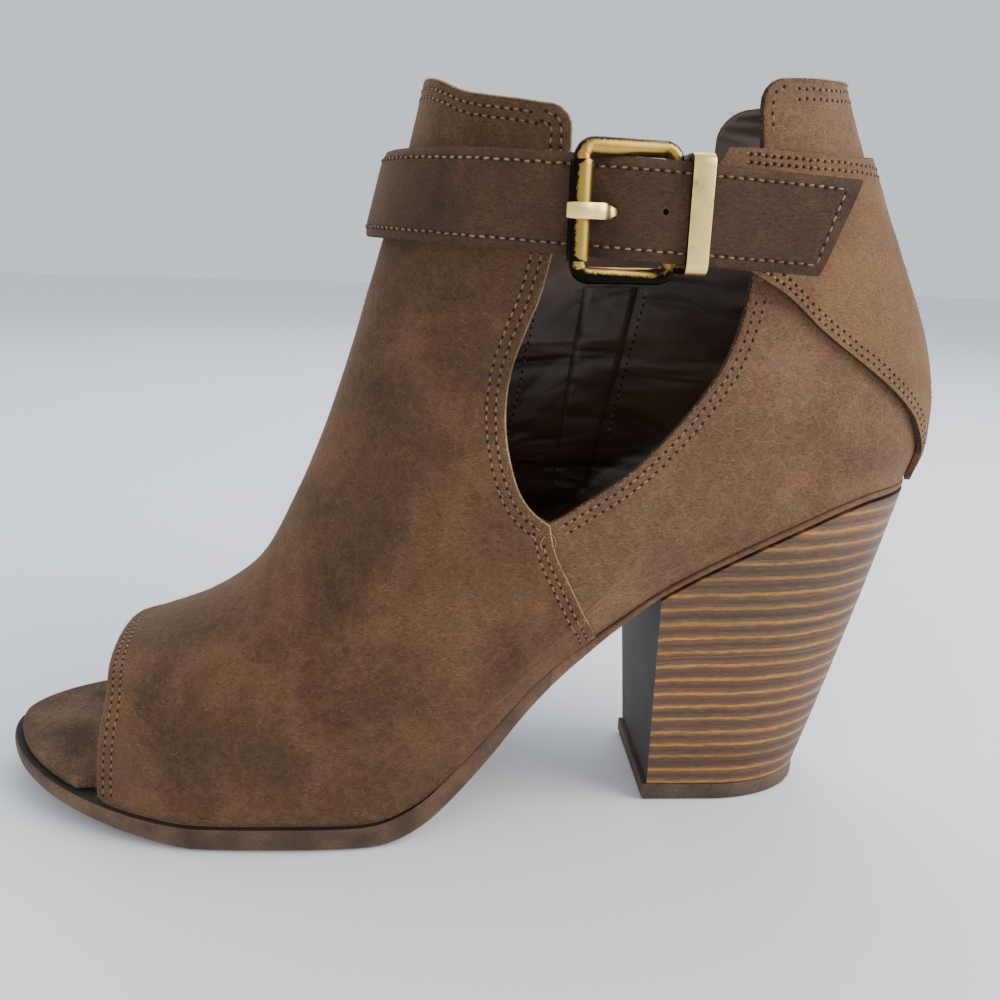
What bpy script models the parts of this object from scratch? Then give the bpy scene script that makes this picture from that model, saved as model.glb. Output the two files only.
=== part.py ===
# Open toe ankle bootie, left shoe, with a cut-out side, a buckled strap and a stacked block heel.
# Metres, +Z up. The toe points to -X and the buckle side faces -Y.
# The origin is the centre of the heel's ground face.

import math

import bmesh
import bpy
from mathutils import Vector

mm = 0.001

# Driving dimensions of the last
LAST_LENGTH = 233.0 * mm
BALL_WIDTH = 80.0 * mm
SEAT_WIDTH = 54.6 * mm
TOE_SWING = 6.0 * mm
SEAT_HEIGHT = 86.8 * mm
TOE_SPRING = 5.0 * mm
SHAFT_WIDTH = 68.0 * mm
FRONT_HEIGHT = 176.0 * mm
BACK_HEIGHT = 178.5 * mm
SIDE_DROP = 6.8 * mm

# Thicknesses of the upper
WALL = 1.6 * mm
VAMP_STEP = 0.9 * mm
PANEL_THICKNESS = 1.4 * mm

# Openings of the upper
TOE_OPENING_DEPTH = 31.0 * mm
TOE_OPENING_SLANT = 3.0 * mm
CUTOUT_DEPTH = 95.0 * mm
CUTOUT_WIDTH = 52.6 * mm
CUTOUT_TO_HEEL_BACK = 95.0 * mm
INNER_NOTCH_DEPTH = 24.0 * mm
INNER_NOTCH_REACH = 6.5 * mm

# Back panel and the chape that it ends in
PANEL_TOP_DROP = 16.5 * mm
CHAPE_FLARE = 6.5 * mm

# Sole, insole and heel
SOLE_THICKNESS = 6.2 * mm
SOLE_MARGIN = 1.6 * mm
SOLE_EDGE_BEVEL = 1.9 * mm
INSOLE_THICKNESS = 2.6 * mm
INSOLE_EASE = 1.6 * mm
INSOLE_EDGE_BEVEL = 0.6 * mm
INSOLE_STEP = 2.0 * mm
LIFT_LENGTH = 46.0 * mm
LIFT_WIDTH = 36.0 * mm
LIFT_THICKNESS = 4.6 * mm
LIFT_LIP = 1.2 * mm
HEEL_RAKE = 19.0 * mm
HEEL_BULGE = 0.6 * mm
HEEL_EVEN = 0.65
LIFT_ROUND = 0.62
BREAST_TO_HEEL_BACK = 66.0 * mm

# Strap and buckle
STRAP_WIDTH = 18.7 * mm
STRAP_THICKNESS = 2.0 * mm
STRAP_BELOW_FRONT = 24.6 * mm
STRAP_FALL = 5.5 * mm
TAIL_LENGTH = 34.0 * mm
TAIL_SLANT = 7.0 * mm
BUCKLE_LENGTH = 22.6 * mm
BUCKLE_HEIGHT = 27.4 * mm
BUCKLE_WIRE = 3.3 * mm
BUCKLE_CORNER = 2.4 * mm
BUCKLE_TO_HEEL_BACK = 83.0 * mm
BUCKLE_STAND_OFF = 43.2 * mm
BUCKLE_DROP = 0.7 * mm
BUCKLE_LEAN = 5.5 * mm
ROLLER_WALL = 0.55 * mm
PRONG_THICKNESS = 1.7 * mm
PRONG_RING = 1.0 * mm
PRONG_HOLE_LENGTH = 6.4 * mm
KEEPER_WIDTH = 4.4 * mm
KEEPER_BAR = 1.3 * mm
KEEPER_CORNER = 1.0 * mm

# Clearances
GAP = 0.3 * mm
TURNING_GAP = 0.13 * mm
KEEPER_EASE = 0.8 * mm
CUT_MARGIN = 12.0 * mm

# Fineness of the faceted forms
AROUND = 52
FORM_RINGS = 22
SOLE_AROUND = 76
PANEL_ROWS = 9

# The outline of the feather line, from toe to heel.
# place is a share of the last's length; lateral and medial are shares of half the ball width.
OUTLINE_COLUMNS = ("place", "lateral", "medial")
OUTLINE = (
    (0.000, 1.030, 0.925),
    (0.215, 1.045, 0.935),
    (0.283, 1.058, 0.935),
    (0.356, 1.052, 0.905),
    (0.408, 1.030, 0.838),
    (0.464, 0.968, 0.738),
    (0.515, 0.898, 0.650),
    (0.571, 0.830, 0.595),
    (0.614, 0.783, 0.583),
    (0.670, 0.740, 0.600),
    (0.721, 0.722, 0.630),
    (0.807, 0.708, 0.657),
    (1.000, 0.690, 0.650),
)
TOE_END = 0.250
TOE_ROUND = 1.72
HEEL_END = 0.810
HEEL_ROUND = 2.15
SEAT_SHARE = 0.6825

# The line of the sole, from toe to heel.
# rise is a share of the climb to the seat, spring of the toe spring, thick of the sole's thickness.
SOLE_COLUMNS = ("place", "rise", "spring", "thick")
SOLE_LINE = (
    (0.000, 0.000, 1.00, 0.86),
    (0.060, 0.000, 0.70, 0.84),
    (0.129, 0.000, 0.40, 0.87),
    (0.190, 0.000, 0.15, 0.94),
    (0.240, 0.000, 0.00, 1.00),
    (0.405, 0.000, 0.00, 1.00),
    (0.430, 0.006, 0.00, 1.06),
    (0.450, 0.024, 0.00, 1.14),
    (0.475, 0.064, 0.00, 1.20),
    (0.506, 0.145, 0.00, 1.25),
    (0.543, 0.262, 0.00, 1.22),
    (0.579, 0.383, 0.00, 1.05),
    (0.615, 0.481, 0.00, 0.84),
    (0.645, 0.543, 0.00, 0.60),
    (0.672, 0.600, 0.00, 0.42),
    (0.717, 0.695, 0.00, 0.30),
    (0.803, 0.834, 0.00, 0.30),
    (0.850, 0.900, 0.00, 0.30),
    (0.901, 0.960, 0.00, 0.30),
    (0.940, 0.988, 0.00, 0.30),
    (1.000, 1.000, 0.00, 0.30),
)

# The rings of the upper, from the feather line to the collar.
# front_x and back_x are shares of the last's length, front_z of the height from toe to front collar,
# back_z of the height from seat to back collar, front_y of the toe's swing. half_l and half_m are
# shares of half the shaft width, widest is where the ring is widest, own is how far the ring has
# left the sole's outline and sag how far it still follows the line of the sole.
RING_COLUMNS = (
    "level", "front_x", "front_z", "front_y", "back_x", "back_z",
    "half_l", "half_m", "widest", "front_round", "back_round", "own", "sag",
)
RINGS = (
    (0, 0.000, 0.000, 1.00, 1.003, 0.000, 1.190, 1.170, 0.40, 1.75, 2.1, 0.00, 1.00),
    (1, 0.030, 0.104, 0.95, 1.010, 0.040, 1.200, 1.180, 0.40, 2.30, 2.1, 0.42, 0.93),
    (2, 0.090, 0.158, 0.85, 1.015, 0.083, 1.185, 1.170, 0.40, 2.30, 2.1, 0.50, 0.84),
    (3, 0.129, 0.175, 0.80, 1.017, 0.132, 1.165, 1.150, 0.40, 2.20, 2.1, 0.62, 0.74),
    (4, 0.209, 0.219, 0.60, 1.017, 0.191, 1.130, 1.110, 0.41, 2.10, 2.1, 0.78, 0.62),
    (5, 0.285, 0.296, 0.42, 1.013, 0.266, 1.090, 1.070, 0.42, 2.05, 2.1, 0.93, 0.48),
    (6, 0.327, 0.398, 0.28, 1.004, 0.353, 1.060, 1.040, 0.43, 2.00, 2.1, 0.98, 0.33),
    (7, 0.362, 0.510, 0.16, 0.989, 0.450, 1.030, 1.010, 0.44, 2.00, 2.1, 1.00, 0.18),
    (8, 0.394, 0.639, 0.06, 0.967, 0.568, 1.000, 0.980, 0.45, 2.05, 2.1, 1.00, 0.07),
    (9, 0.420, 0.759, 0.00, 0.942, 0.698, 0.990, 0.970, 0.46, 2.10, 2.15, 1.00, 0.02),
    (10, 0.445, 0.871, 0.00, 0.914, 0.838, 1.000, 0.980, 0.46, 2.15, 2.2, 1.00, 0.00),
    (11, 0.468, 1.000, 0.00, 0.884, 1.000, 1.015, 0.995, 0.46, 2.20, 2.25, 1.00, 0.00),
)
TOP_LEVEL = 11.6
BOTTOM_LEVEL = -0.3

# The edges of the side cut-out, as rows of across and up.
# across is a share of its width from its lowest point, up of its depth.
CUTOUT_FRONT = (
    (0.000, 0.000), (-0.070, 0.030), (-0.131, 0.081), (-0.178, 0.173), (-0.192, 0.262),
    (-0.175, 0.352), (-0.124, 0.440), (-0.067, 0.523), (-0.028, 0.616), (0.006, 0.728),
    (0.030, 0.834),
)
CUTOUT_REAR = (
    (0.030, 0.004), (0.175, 0.057), (0.344, 0.124), (0.490, 0.205), (0.612, 0.288),
    (0.715, 0.376), (0.774, 0.462), (0.802, 0.540), (0.808, 0.640), (0.800, 0.850),
    (0.785, 0.925),
)
TAB_CORNER = 4.8 * mm
INNER_TAB_CORNER = 8.0 * mm

# The edge of the toe opening, as rows of back and up.
# back is a share of the opening's depth, up of the vamp's height there.
TOE_EDGE = ((1.130, -0.10), (1.040, 0.05), (1.000, 0.17), (0.985, 0.30), (1.000, 0.48),
            (1.030, 0.66), (1.050, 0.82), (0.985, 1.00), (0.940, 1.20))
VAMP_HEIGHT_AT_TOE = 40.0 * mm

# The seam of vamp over quarter, as rows of ahead and up.
# ahead is a share of the cut-out's width, up of the front collar's height.
VAMP_SEAM = ((0.500, 0.120), (0.400, 0.200), (0.262, 0.287), (0.112, 0.376), (0.020, 0.440),
             (-0.010, 0.540), (0.010, 0.640), (0.070, 0.740), (0.140, 0.860), (0.170, 1.100))

# The bottom of the notch on the inner side, as rows of across and up.
# across is a share of the notch's width, up of its depth.
NOTCH_BOWL = ((0.00, 0.45), (0.03, 0.22), (0.12, 0.06), (0.26, 0.00), (0.50, -0.02), (0.74, 0.00),
              (0.88, 0.06), (0.97, 0.22), (1.00, 0.45))

# The collar's edge from front to back. along is a share of its length, dip of the side's drop.
COLLAR_COLUMNS = ("along", "dip")
COLLAR = ((-0.12, -0.26), (0.00, 0.00), (0.10, 0.74), (0.20, 1.02), (0.295, 1.22), (0.56, 0.81),
          (0.78, 0.34), (0.92, 0.20), (1.00, 0.00), (1.12, -0.18))

# The back panel from the buckle's hinge to the middle of the back, on either side.
# around is a share of that way, low and high of the height from the seat to the panel's top.
PANEL = (
    (0.135, 0.705, 0.985),
    (0.200, 0.662, 0.990),
    (0.268, 0.617, 0.990),
    (0.314, 0.574, 0.990),
    (0.368, 0.509, 0.990),
    (0.450, 0.432, 0.990),
    (0.571, 0.330, 0.988),
    (0.686, 0.233, 0.996),
    (0.775, 0.145, 1.002),
    (0.825, 0.075, 1.006),
    (0.850, 0.020, 1.008),
    (0.870, -0.030, 1.010),
    (1.000, -0.030, 1.020),
)

# How far the strap stands off the upper round its path, as rows of turn and off, from its inner end.
# turn is a share of a full turn from the front towards the buckle side, off a share of the bulge.
STRAP_PATH = ((-0.350, 0.000), (-0.300, 0.000), (-0.240, 0.060), (-0.180, 0.130), (-0.120, 0.200),
              (-0.060, 0.220), (0.000, 0.200), (0.060, 0.280), (0.110, 0.450), (0.150, 0.660))
STRAP_BULGE = 10.0 * mm

# The strap's way through the buckle, as rows of along and over. along is a share of the way from the
# roller to the hinge bar, over of the way from under the roller to over the chape's loop.
THROUGH_BUCKLE = ((-0.233, -0.20), (0.000, 0.00), (0.207, 0.30), (0.534, 0.96), (0.793, 1.08),
                  (1.000, 1.04))

# How the tail lies, as rows of along, a share of its length, and back, a share of its return.
TAIL = ((0.118, 0.03), (0.350, 0.28), (0.700, 0.63), (1.000, 1.00))
TAIL_RETURN = 3.2 * mm

# The prong's way, as rows of along, a share of the way from the hinge bar to the roller, and out, a
# share of its height where it rests on the roller.
PRONG_PATH = ((0.083, 0.43), (0.259, 0.05), (0.440, -0.07), (0.627, -0.07), (0.813, 0.875),
              (1.000, 1.000), (1.135, 0.630))
PRONG_HOLE_PLACE = 0.632

# The rounded edges of sole and insole, as rows of up, a share of the thickness, and inset, a share
# of the edge's bevel.
SOLE_EDGE = ((0.00, 1.00), (0.28, 0.25), (0.70, 0.00), (1.00, 0.25))
INSOLE_EDGE = ((0.00, 0.00), (0.75, 0.00), (1.00, 1.00))

# Colours seen on each piece
COLOURS = {
    "upper": (0.165, 0.092, 0.052, 0.85, 0.0),
    "back_panel": (0.175, 0.100, 0.058, 0.85, 0.0),
    "insole": (0.185, 0.110, 0.065, 0.85, 0.0),
    "outsole": (0.120, 0.072, 0.040, 0.65, 0.0),
    "heel": (0.270, 0.130, 0.050, 0.50, 0.0),
    "top_lift": (0.110, 0.085, 0.065, 0.70, 0.0),
    "strap": (0.150, 0.085, 0.050, 0.85, 0.0),
    "buckle_frame": (0.120, 0.095, 0.050, 0.38, 1.0),
    "buckle_roller": (0.360, 0.260, 0.090, 0.35, 1.0),
    "buckle_prong": (0.480, 0.350, 0.120, 0.32, 1.0),
    "buckle_keeper": (0.480, 0.350, 0.120, 0.32, 1.0),
}

# Places worked out from the sizes above
HEEL_BACK_X = LIFT_LENGTH / 2 + HEEL_RAKE
TOE_X = HEEL_BACK_X - LAST_LENGTH
BREAST_X = HEEL_BACK_X - BREAST_TO_HEEL_BACK
CLIMB = SEAT_HEIGHT - SOLE_THICKNESS
QUARTER = -VAMP_STEP
LINING = QUARTER - WALL
PANEL_INNER = QUARTER + GAP
PANEL_OUTER = PANEL_INNER + PANEL_THICKNESS
CUTOUT_X = HEEL_BACK_X - CUTOUT_TO_HEEL_BACK
CUTOUT_Z = FRONT_HEIGHT - CUTOUT_DEPTH
BUCKLE_X = HEEL_BACK_X - BUCKLE_TO_HEEL_BACK
WIRE_RADIUS = BUCKLE_WIRE / 2
ROLLER_X = BUCKLE_X - BUCKLE_LENGTH / 2 + WIRE_RADIUS
HINGE_X = BUCKLE_X + BUCKLE_LENGTH / 2 - WIRE_RADIUS
ROLLER_Y = -BUCKLE_STAND_OFF - BUCKLE_LEAN / 2
HINGE_Y = -BUCKLE_STAND_OFF + BUCKLE_LEAN / 2
LOOP_RADIUS = WIRE_RADIUS + GAP + PANEL_THICKNESS * 0.65
BAR_SPACING = BUCKLE_LENGTH - BUCKLE_WIRE
FLARE_X = HEEL_BACK_X - BUCKLE_TO_HEEL_BACK * 0.463
COLLAR_FRONT_X = TOE_X + LAST_LENGTH * 0.468
COLLAR_BACK_X = TOE_X + LAST_LENGTH * 0.890
ROOF = max(FRONT_HEIGHT, BACK_HEIGHT) * 1.3


def table_value(table, columns, name, place):
    """A smooth value between the rows of a table, whose first column is the place."""
    column = columns.index(name)
    rows = [(row[0], row[column]) for row in table]
    if place <= rows[0][0]:
        (x0, y0), (x1, y1) = rows[0], rows[1]
        return y0 + (y1 - y0) * (place - x0) / (x1 - x0)
    if place >= rows[-1][0]:
        (x0, y0), (x1, y1) = rows[-2], rows[-1]
        return y1 + (y1 - y0) * (place - x1) / (x1 - x0)
    i = max(k for k in range(len(rows) - 1) if rows[k][0] <= place)

    def slope(k):
        """Zero at a turning point, else a mean that never overshoots the rows."""
        if k == 0 or k == len(rows) - 1:
            a, b = (0, 1) if k == 0 else (len(rows) - 2, len(rows) - 1)
            return (rows[b][1] - rows[a][1]) / (rows[b][0] - rows[a][0])
        before = (rows[k][1] - rows[k - 1][1]) / (rows[k][0] - rows[k - 1][0])
        after = (rows[k + 1][1] - rows[k][1]) / (rows[k + 1][0] - rows[k][0])
        if before * after <= 0:
            return 0.0
        return 2 * before * after / (before + after)

    (x0, y0), (x1, y1) = rows[i], rows[i + 1]
    step = x1 - x0
    t = (place - x0) / step
    return (
        (2 * t**3 - 3 * t**2 + 1) * y0
        + (t**3 - 2 * t**2 + t) * step * slope(i)
        + (3 * t**2 - 2 * t**3) * y1
        + (t**3 - t**2) * step * slope(i + 1)
    )


def round_end(share, power):
    """Half width of a rounded end, from 0 at its tip to 1 where it is full."""
    share = min(max(share, 0.0), 1.0)
    return (1 - (1 - share) ** power) ** (1 / power)


def place_x(share):
    return TOE_X + LAST_LENGTH * share


def place_share(x):
    return (x - TOE_X) / LAST_LENGTH


def axis_y(share):
    """The axis of the last swings towards the inner side at the toe."""
    return TOE_SWING * (1 - share)


def sole_half(share, side):
    """Half width of the feather line at a place, on the lateral (-1) or medial (1) side."""
    name = "lateral" if side < 0 else "medial"
    wide = table_value(OUTLINE, OUTLINE_COLUMNS, name, share) * BALL_WIDTH / 2
    seat = SEAT_WIDTH / BALL_WIDTH / SEAT_SHARE
    blend = min(max((share - 0.5) / 0.3, 0.0), 1.0)
    wide *= 1 + (seat - 1) * blend
    front = round_end(share / TOE_END, TOE_ROUND)
    back = round_end((1 - share) / (1 - HEEL_END), HEEL_ROUND)
    return wide * front * back


def sole_top(share):
    rise = table_value(SOLE_LINE, SOLE_COLUMNS, "rise", share) * CLIMB
    spring = table_value(SOLE_LINE, SOLE_COLUMNS, "spring", share) * TOE_SPRING
    return SOLE_THICKNESS + rise + spring


def sole_bottom(share):
    return sole_top(share) - table_value(SOLE_LINE, SOLE_COLUMNS, "thick", share) * SOLE_THICKNESS


def outline_places():
    """The points round the sole's outline: the share along it, and the side that each is on."""
    half = SOLE_AROUND // 2
    for i in range(SOLE_AROUND):
        along = i / half if i <= half else 2 - i / half
        bunched = (1 - math.cos(math.pi * along)) / 2
        side = 0 if i in (0, half) else (-1 if i < half else 1)
        mix = min(1.0, along / 0.2, (1 - along) / 0.2) * 0.4
        yield bunched * (1 - mix) + along * mix, side


def ring_base(level, turn):
    """A point of the last's surface: turn goes from the front towards the buckle side."""
    row = {name: table_value(RINGS, RING_COLUMNS, name, level) for name in RING_COLUMNS[1:]}
    angle = 2 * math.pi * turn
    share = (1 - math.cos(angle)) / 2
    side = -1 if math.sin(angle) > 0 else 1
    front = Vector((
        place_x(row["front_x"]),
        TOE_SWING * row["front_y"],
        sole_top(0) + (FRONT_HEIGHT - sole_top(0)) * row["front_z"],
    ))
    back = Vector((
        place_x(row["back_x"]),
        0,
        sole_top(1) + (BACK_HEIGHT - sole_top(1)) * row["back_z"],
    ))
    point = front.lerp(back, share)
    chord = sole_top(0) + (sole_top(1) - sole_top(0)) * share
    point.z += (sole_top(share) - chord) * row["sag"]
    widest = row["widest"]
    if share < widest:
        own = round_end(share / widest, row["front_round"])
    else:
        own = round_end((1 - share) / (1 - widest), row["back_round"])
    own *= row["half_l" if side < 0 else "half_m"] * SHAFT_WIDTH / 2
    half = own * row["own"] + sole_half(share, side) * (1 - row["own"])
    point.y += side * half
    return point


def ring_point(level, turn, offset=0.0, flare=0.0):
    """The last's surface moved out by an offset, and flared out to the buckle on its side."""
    step = 0.004
    point = ring_base(level, turn)
    along = ring_base(level, turn + step) - ring_base(level, turn - step)
    upward = ring_base(level + 0.05, turn) - ring_base(level - 0.05, turn)
    normal = along.cross(upward)
    point += normal.normalized() * offset
    lateral = math.sin(2 * math.pi * turn)
    if flare and lateral > 0:
        reach = (FLARE_X - point.x) / (FLARE_X - HINGE_X)
        reach = min(max(reach, 0.0), 1.0)
        point.y -= flare * lateral * reach * reach * (3 - 2 * reach)
    return point


def level_at(turn, height, offset=0.0):
    """The level where the ring passes a height, which is a function of x."""
    low, high = BOTTOM_LEVEL, TOP_LEVEL
    for _ in range(24):
        level = (low + high) / 2
        point = ring_point(level, turn, offset)
        if point.z < height(point.x):
            low = level
        else:
            high = level
    return (low + high) / 2


def hinge_turn():
    """The turn at which the upper's side passes the buckle's hinge bar."""
    low, high = 0.10, 0.45
    for _ in range(24):
        turn = (low + high) / 2
        point = ring_point(level_at(turn, strap_middle), turn)
        if point.x < HINGE_X:
            low = turn
        else:
            high = turn
    return (low + high) / 2


def collection_object(name, mesh):
    obj = bpy.data.objects.new(name, mesh)
    bpy.context.scene.collection.objects.link(obj)
    return obj


def material_for(name):
    red, green, blue, roughness, metallic = COLOURS[name]
    material = bpy.data.materials.new(name)
    material.use_nodes = True
    shader = material.node_tree.nodes["Principled BSDF"]
    shader.inputs["Base Color"].default_value = (red, green, blue, 1)
    shader.inputs["Roughness"].default_value = roughness
    shader.inputs["Metallic"].default_value = metallic
    return material


def finish(obj, smooth=40):
    """A part that shows: its material, and smooth shading over its round faces."""
    obj.data.materials.append(material_for(obj.name))
    obj.data.shade_smooth()
    obj.data.set_sharp_from_angle(angle=math.radians(smooth))
    return obj


def mesh_from(name, points, faces):
    mesh = bpy.data.meshes.new(name)
    mesh.from_pydata([tuple(p) for p in points], [], faces)
    bm = bmesh.new()
    bm.from_mesh(mesh)
    bmesh.ops.recalc_face_normals(bm, faces=bm.faces)
    bm.to_mesh(mesh)
    bm.free()
    return mesh


def loft(name, rings):
    """A closed body through rings that start at the front, with strips across its two ends."""
    count = len(rings[0])
    points = [point for ring in rings for point in ring]
    faces = []
    for r in range(len(rings) - 1):
        for i in range(count):
            j = (i + 1) % count
            faces.append((r * count + i, r * count + j, (r + 1) * count + j, (r + 1) * count + i))
    for start in (0, (len(rings) - 1) * count):
        faces.append((start, start + 1, start + count - 1))
        for i in range(1, count // 2 - 1):
            faces.append((start + i, start + i + 1, start + count - i - 1, start + count - i))
        half = count // 2
        faces.append((start + half - 1, start + half, start + half + 1))
    return collection_object(name, mesh_from(name, points, faces))


def tube(name, sections):
    """A closed body through equal sections, each a list of corners, capped at both ends."""
    count = len(sections[0])
    points = [point for section in sections for point in section]
    faces = [tuple(range(count)), tuple(range(len(points) - count, len(points)))]
    for s in range(len(sections) - 1):
        for i in range(count):
            j = (i + 1) % count
            faces.append((s * count + i, s * count + j, (s + 1) * count + j, (s + 1) * count + i))
    return collection_object(name, mesh_from(name, points, faces))


def ring_tube(name, sections):
    """A closed ring through equal sections, the last joined to the first."""
    count = len(sections[0])
    points = [point for section in sections for point in section]
    faces = []
    for s in range(len(sections)):
        t = (s + 1) % len(sections)
        for i in range(count):
            j = (i + 1) % count
            faces.append((s * count + i, s * count + j, t * count + j, t * count + i))
    return collection_object(name, mesh_from(name, points, faces))


def prism(name, outline, near, far, slant=0.0):
    """An outline of x and z, extruded from near to far along y, and slanted by so much of x per y."""
    sections = [[Vector((x - slant * y, y, z)) for x, z in outline] for y in (near, far)]
    return helper(tube(name, sections))


def helper(obj):
    obj.hide_render = True
    obj.display_type = "WIRE"
    return obj


def boolean(obj, tool, operation):
    modifier = obj.modifiers.new(tool.name, "BOOLEAN")
    modifier.operation = operation
    modifier.solver = "EXACT"
    modifier.object = tool


def smooth_run(points, steps):
    """A curve through a few points, with steps between each pair."""
    run = []
    for i in range(len(points) - 1):
        before = points[max(i - 1, 0)]
        start, end = points[i], points[i + 1]
        after = points[min(i + 2, len(points) - 1)]
        for s in range(steps):
            t = s / steps
            run.append(tuple(
                0.5 * (
                    2 * b + (c - a) * t + (2 * a - 5 * b + 4 * c - d) * t**2
                    + (3 * b - a - 3 * c + d) * t**3
                )
                for a, b, c, d in zip(before, start, end, after)
            ))
    run.append(tuple(points[-1]))
    return run


def form(name, offset, margin=0.0):
    """The whole last at an offset, as a closed body that runs past collar and feather line."""
    low, high = BOTTOM_LEVEL - margin, TOP_LEVEL + margin
    rings = []
    for r in range(FORM_RINGS + 1):
        level = low + (high - low) * r / FORM_RINGS
        rings.append([ring_point(level, i / AROUND, offset) for i in range(AROUND)])
    return loft(name, rings)


def below_feather():
    """All that lies under the upper's lower edge."""
    steps = 40
    line = []
    for i in range(steps + 1):
        share = -0.05 + 1.15 * i / steps
        line.append((place_x(share), sole_top(min(max(share, 0.0), 1.0)) + GAP))
    floor = -CUT_MARGIN
    line = [(line[0][0], floor)] + line + [(line[-1][0], floor)]
    return prism("below_feather", line, -BALL_WIDTH, BALL_WIDTH)


def collar_height(x):
    """The collar's height at a place, which dips at the sides."""
    along = (x - COLLAR_FRONT_X) / (COLLAR_BACK_X - COLLAR_FRONT_X)
    dip = table_value(COLLAR, COLLAR_COLUMNS, "dip", along)
    return FRONT_HEIGHT + (BACK_HEIGHT - FRONT_HEIGHT) * along - SIDE_DROP * dip


def above_collar():
    """All that lies over the collar."""
    steps = 24
    line = []
    for i in range(steps + 1):
        along = -0.12 + 1.24 * i / steps
        x = COLLAR_FRONT_X + (COLLAR_BACK_X - COLLAR_FRONT_X) * along
        line.append((x, collar_height(x)))
    line = [(line[0][0], ROOF)] + line + [(line[-1][0], ROOF)]
    return prism("above_collar", line, -BALL_WIDTH, BALL_WIDTH)


def toe_opening():
    """All that lies ahead of the vamp's front edge."""
    points = [
        (TOE_X + TOE_OPENING_DEPTH * back, VAMP_HEIGHT_AT_TOE * up)
        for back, up in TOE_EDGE
    ]
    ahead = TOE_X - 2 * CUT_MARGIN
    line = smooth_run(points, 3)
    line = [(ahead, line[0][1])] + line + [(ahead, line[-1][1])]
    return prism("toe_opening", line, -BALL_WIDTH, BALL_WIDTH, TOE_OPENING_SLANT / BALL_WIDTH)


def cutout_point(across, up):
    return CUTOUT_X + CUTOUT_WIDTH * across, CUTOUT_Z + CUTOUT_DEPTH * up


def tab_corners(reach_back=0.0, back_corner=TAB_CORNER):
    """The rounded top corners beside the opening: those of the front tab, then of the back tab."""
    front_x, _ = cutout_point(*CUTOUT_FRONT[-1])
    back_x = cutout_point(*CUTOUT_REAR[-1])[0] + reach_back
    front_top = collar_height(front_x - TAB_CORNER)
    back_top = collar_height(back_x + back_corner)
    front, back = [], []
    for i in range(1, 5):
        angle = math.radians(90 * i / 4)
        reach, drop = 1 - math.cos(angle), 1 - math.sin(angle)
        front.append((front_x - TAB_CORNER * reach, front_top - TAB_CORNER * drop))
        back.append((back_x + back_corner * reach, back_top - back_corner * drop))
    front.append((front[-1][0], ROOF))
    back.append((back[-1][0], ROOF))
    return front, back


def side_cutout():
    """The opening of the buckle side, from its low point up through the collar."""
    front = smooth_run([cutout_point(*row) for row in CUTOUT_FRONT], 2)
    rear = smooth_run([cutout_point(*row) for row in CUTOUT_REAR], 2)
    front_tab, back_tab = tab_corners()
    outline = front + front_tab + list(reversed(rear + back_tab))
    return prism("side_cutout", outline, -BALL_WIDTH, -GAP)


def inner_notch():
    """The shallow notch between the tabs on the inner side."""
    front_tab, back_tab = tab_corners(INNER_NOTCH_REACH, INNER_TAB_CORNER)
    low = FRONT_HEIGHT - INNER_NOTCH_DEPTH
    front_x = cutout_point(*CUTOUT_FRONT[-1])[0]
    back_x = cutout_point(*CUTOUT_REAR[-1])[0] + INNER_NOTCH_REACH
    width = back_x - front_x
    bowl = smooth_run([(front_x + width * a, low + INNER_NOTCH_DEPTH * u) for a, u in NOTCH_BOWL], 2)
    outline = list(reversed(front_tab)) + bowl + back_tab
    return prism("inner_notch", outline, GAP, BALL_WIDTH)


def vamp_region():
    """All that lies ahead of the seam where the vamp laps over the quarter."""
    points = [
        (CUTOUT_X + CUTOUT_WIDTH * ahead, FRONT_HEIGHT * up) for ahead, up in VAMP_SEAM
    ]
    points = [(points[0][0] + CUT_MARGIN, -CUT_MARGIN)] + points
    line = smooth_run(points, 3) + [(points[-1][0], ROOF)]
    ahead = TOE_X - 2 * CUT_MARGIN
    line = line + [(ahead, line[-1][1]), (ahead, line[0][1])]
    return prism("vamp_region", line, -BALL_WIDTH, BALL_WIDTH)


def make_upper():
    upper = form("upper", QUARTER)
    vamp = helper(form("vamp_form", 0.0, margin=0.04))
    boolean(vamp, vamp_region(), "INTERSECT")
    boolean(upper, vamp, "UNION")
    boolean(upper, helper(form("lining_form", LINING, margin=0.15)), "DIFFERENCE")
    for cutter in (below_feather(), above_collar(), toe_opening(), side_cutout(), inner_notch()):
        boolean(upper, cutter, "DIFFERENCE")
    return finish(upper)


def panel_height(up):
    return SEAT_HEIGHT + (BACK_HEIGHT - PANEL_TOP_DROP - SEAT_HEIGHT) * up


def strap_middle(x):
    """The height of the strap's middle, which falls a little towards the heel."""
    front_x = place_x(0.415)
    return FRONT_HEIGHT - STRAP_BELOW_FRONT - STRAP_FALL * (x - front_x) / (place_x(0.845) - front_x)


def buckle_middle():
    """The buckle hangs a little low on its strap."""
    return strap_middle(BUCKLE_X) - BUCKLE_DROP


def panel_columns():
    """Round the heel from hinge to hinge: the turn of each column, with its lowest and highest point."""
    start = hinge_turn()
    half = STRAP_WIDTH / 2
    chape = [(around, None, None) for around in (0.0, 0.05, 0.10)]
    rows = chape + [tuple(row) for row in smooth_run(PANEL, 2)]
    columns = []
    for around, low, high in rows:
        turn = start + (0.5 - start) * around
        if low is None:
            low_at = lambda x: strap_middle(x) - half
            high_at = lambda x: strap_middle(x) + half
        else:
            low_at = lambda x, up=low: max(panel_height(up), sole_top(min(place_share(x), 1.0)) + GAP)
            high_at = lambda x, up=high: panel_height(up)
        columns.append((turn, low_at, high_at))
    return columns + [(1 - turn, low, high) for turn, low, high in reversed(columns[:-1])]


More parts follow.
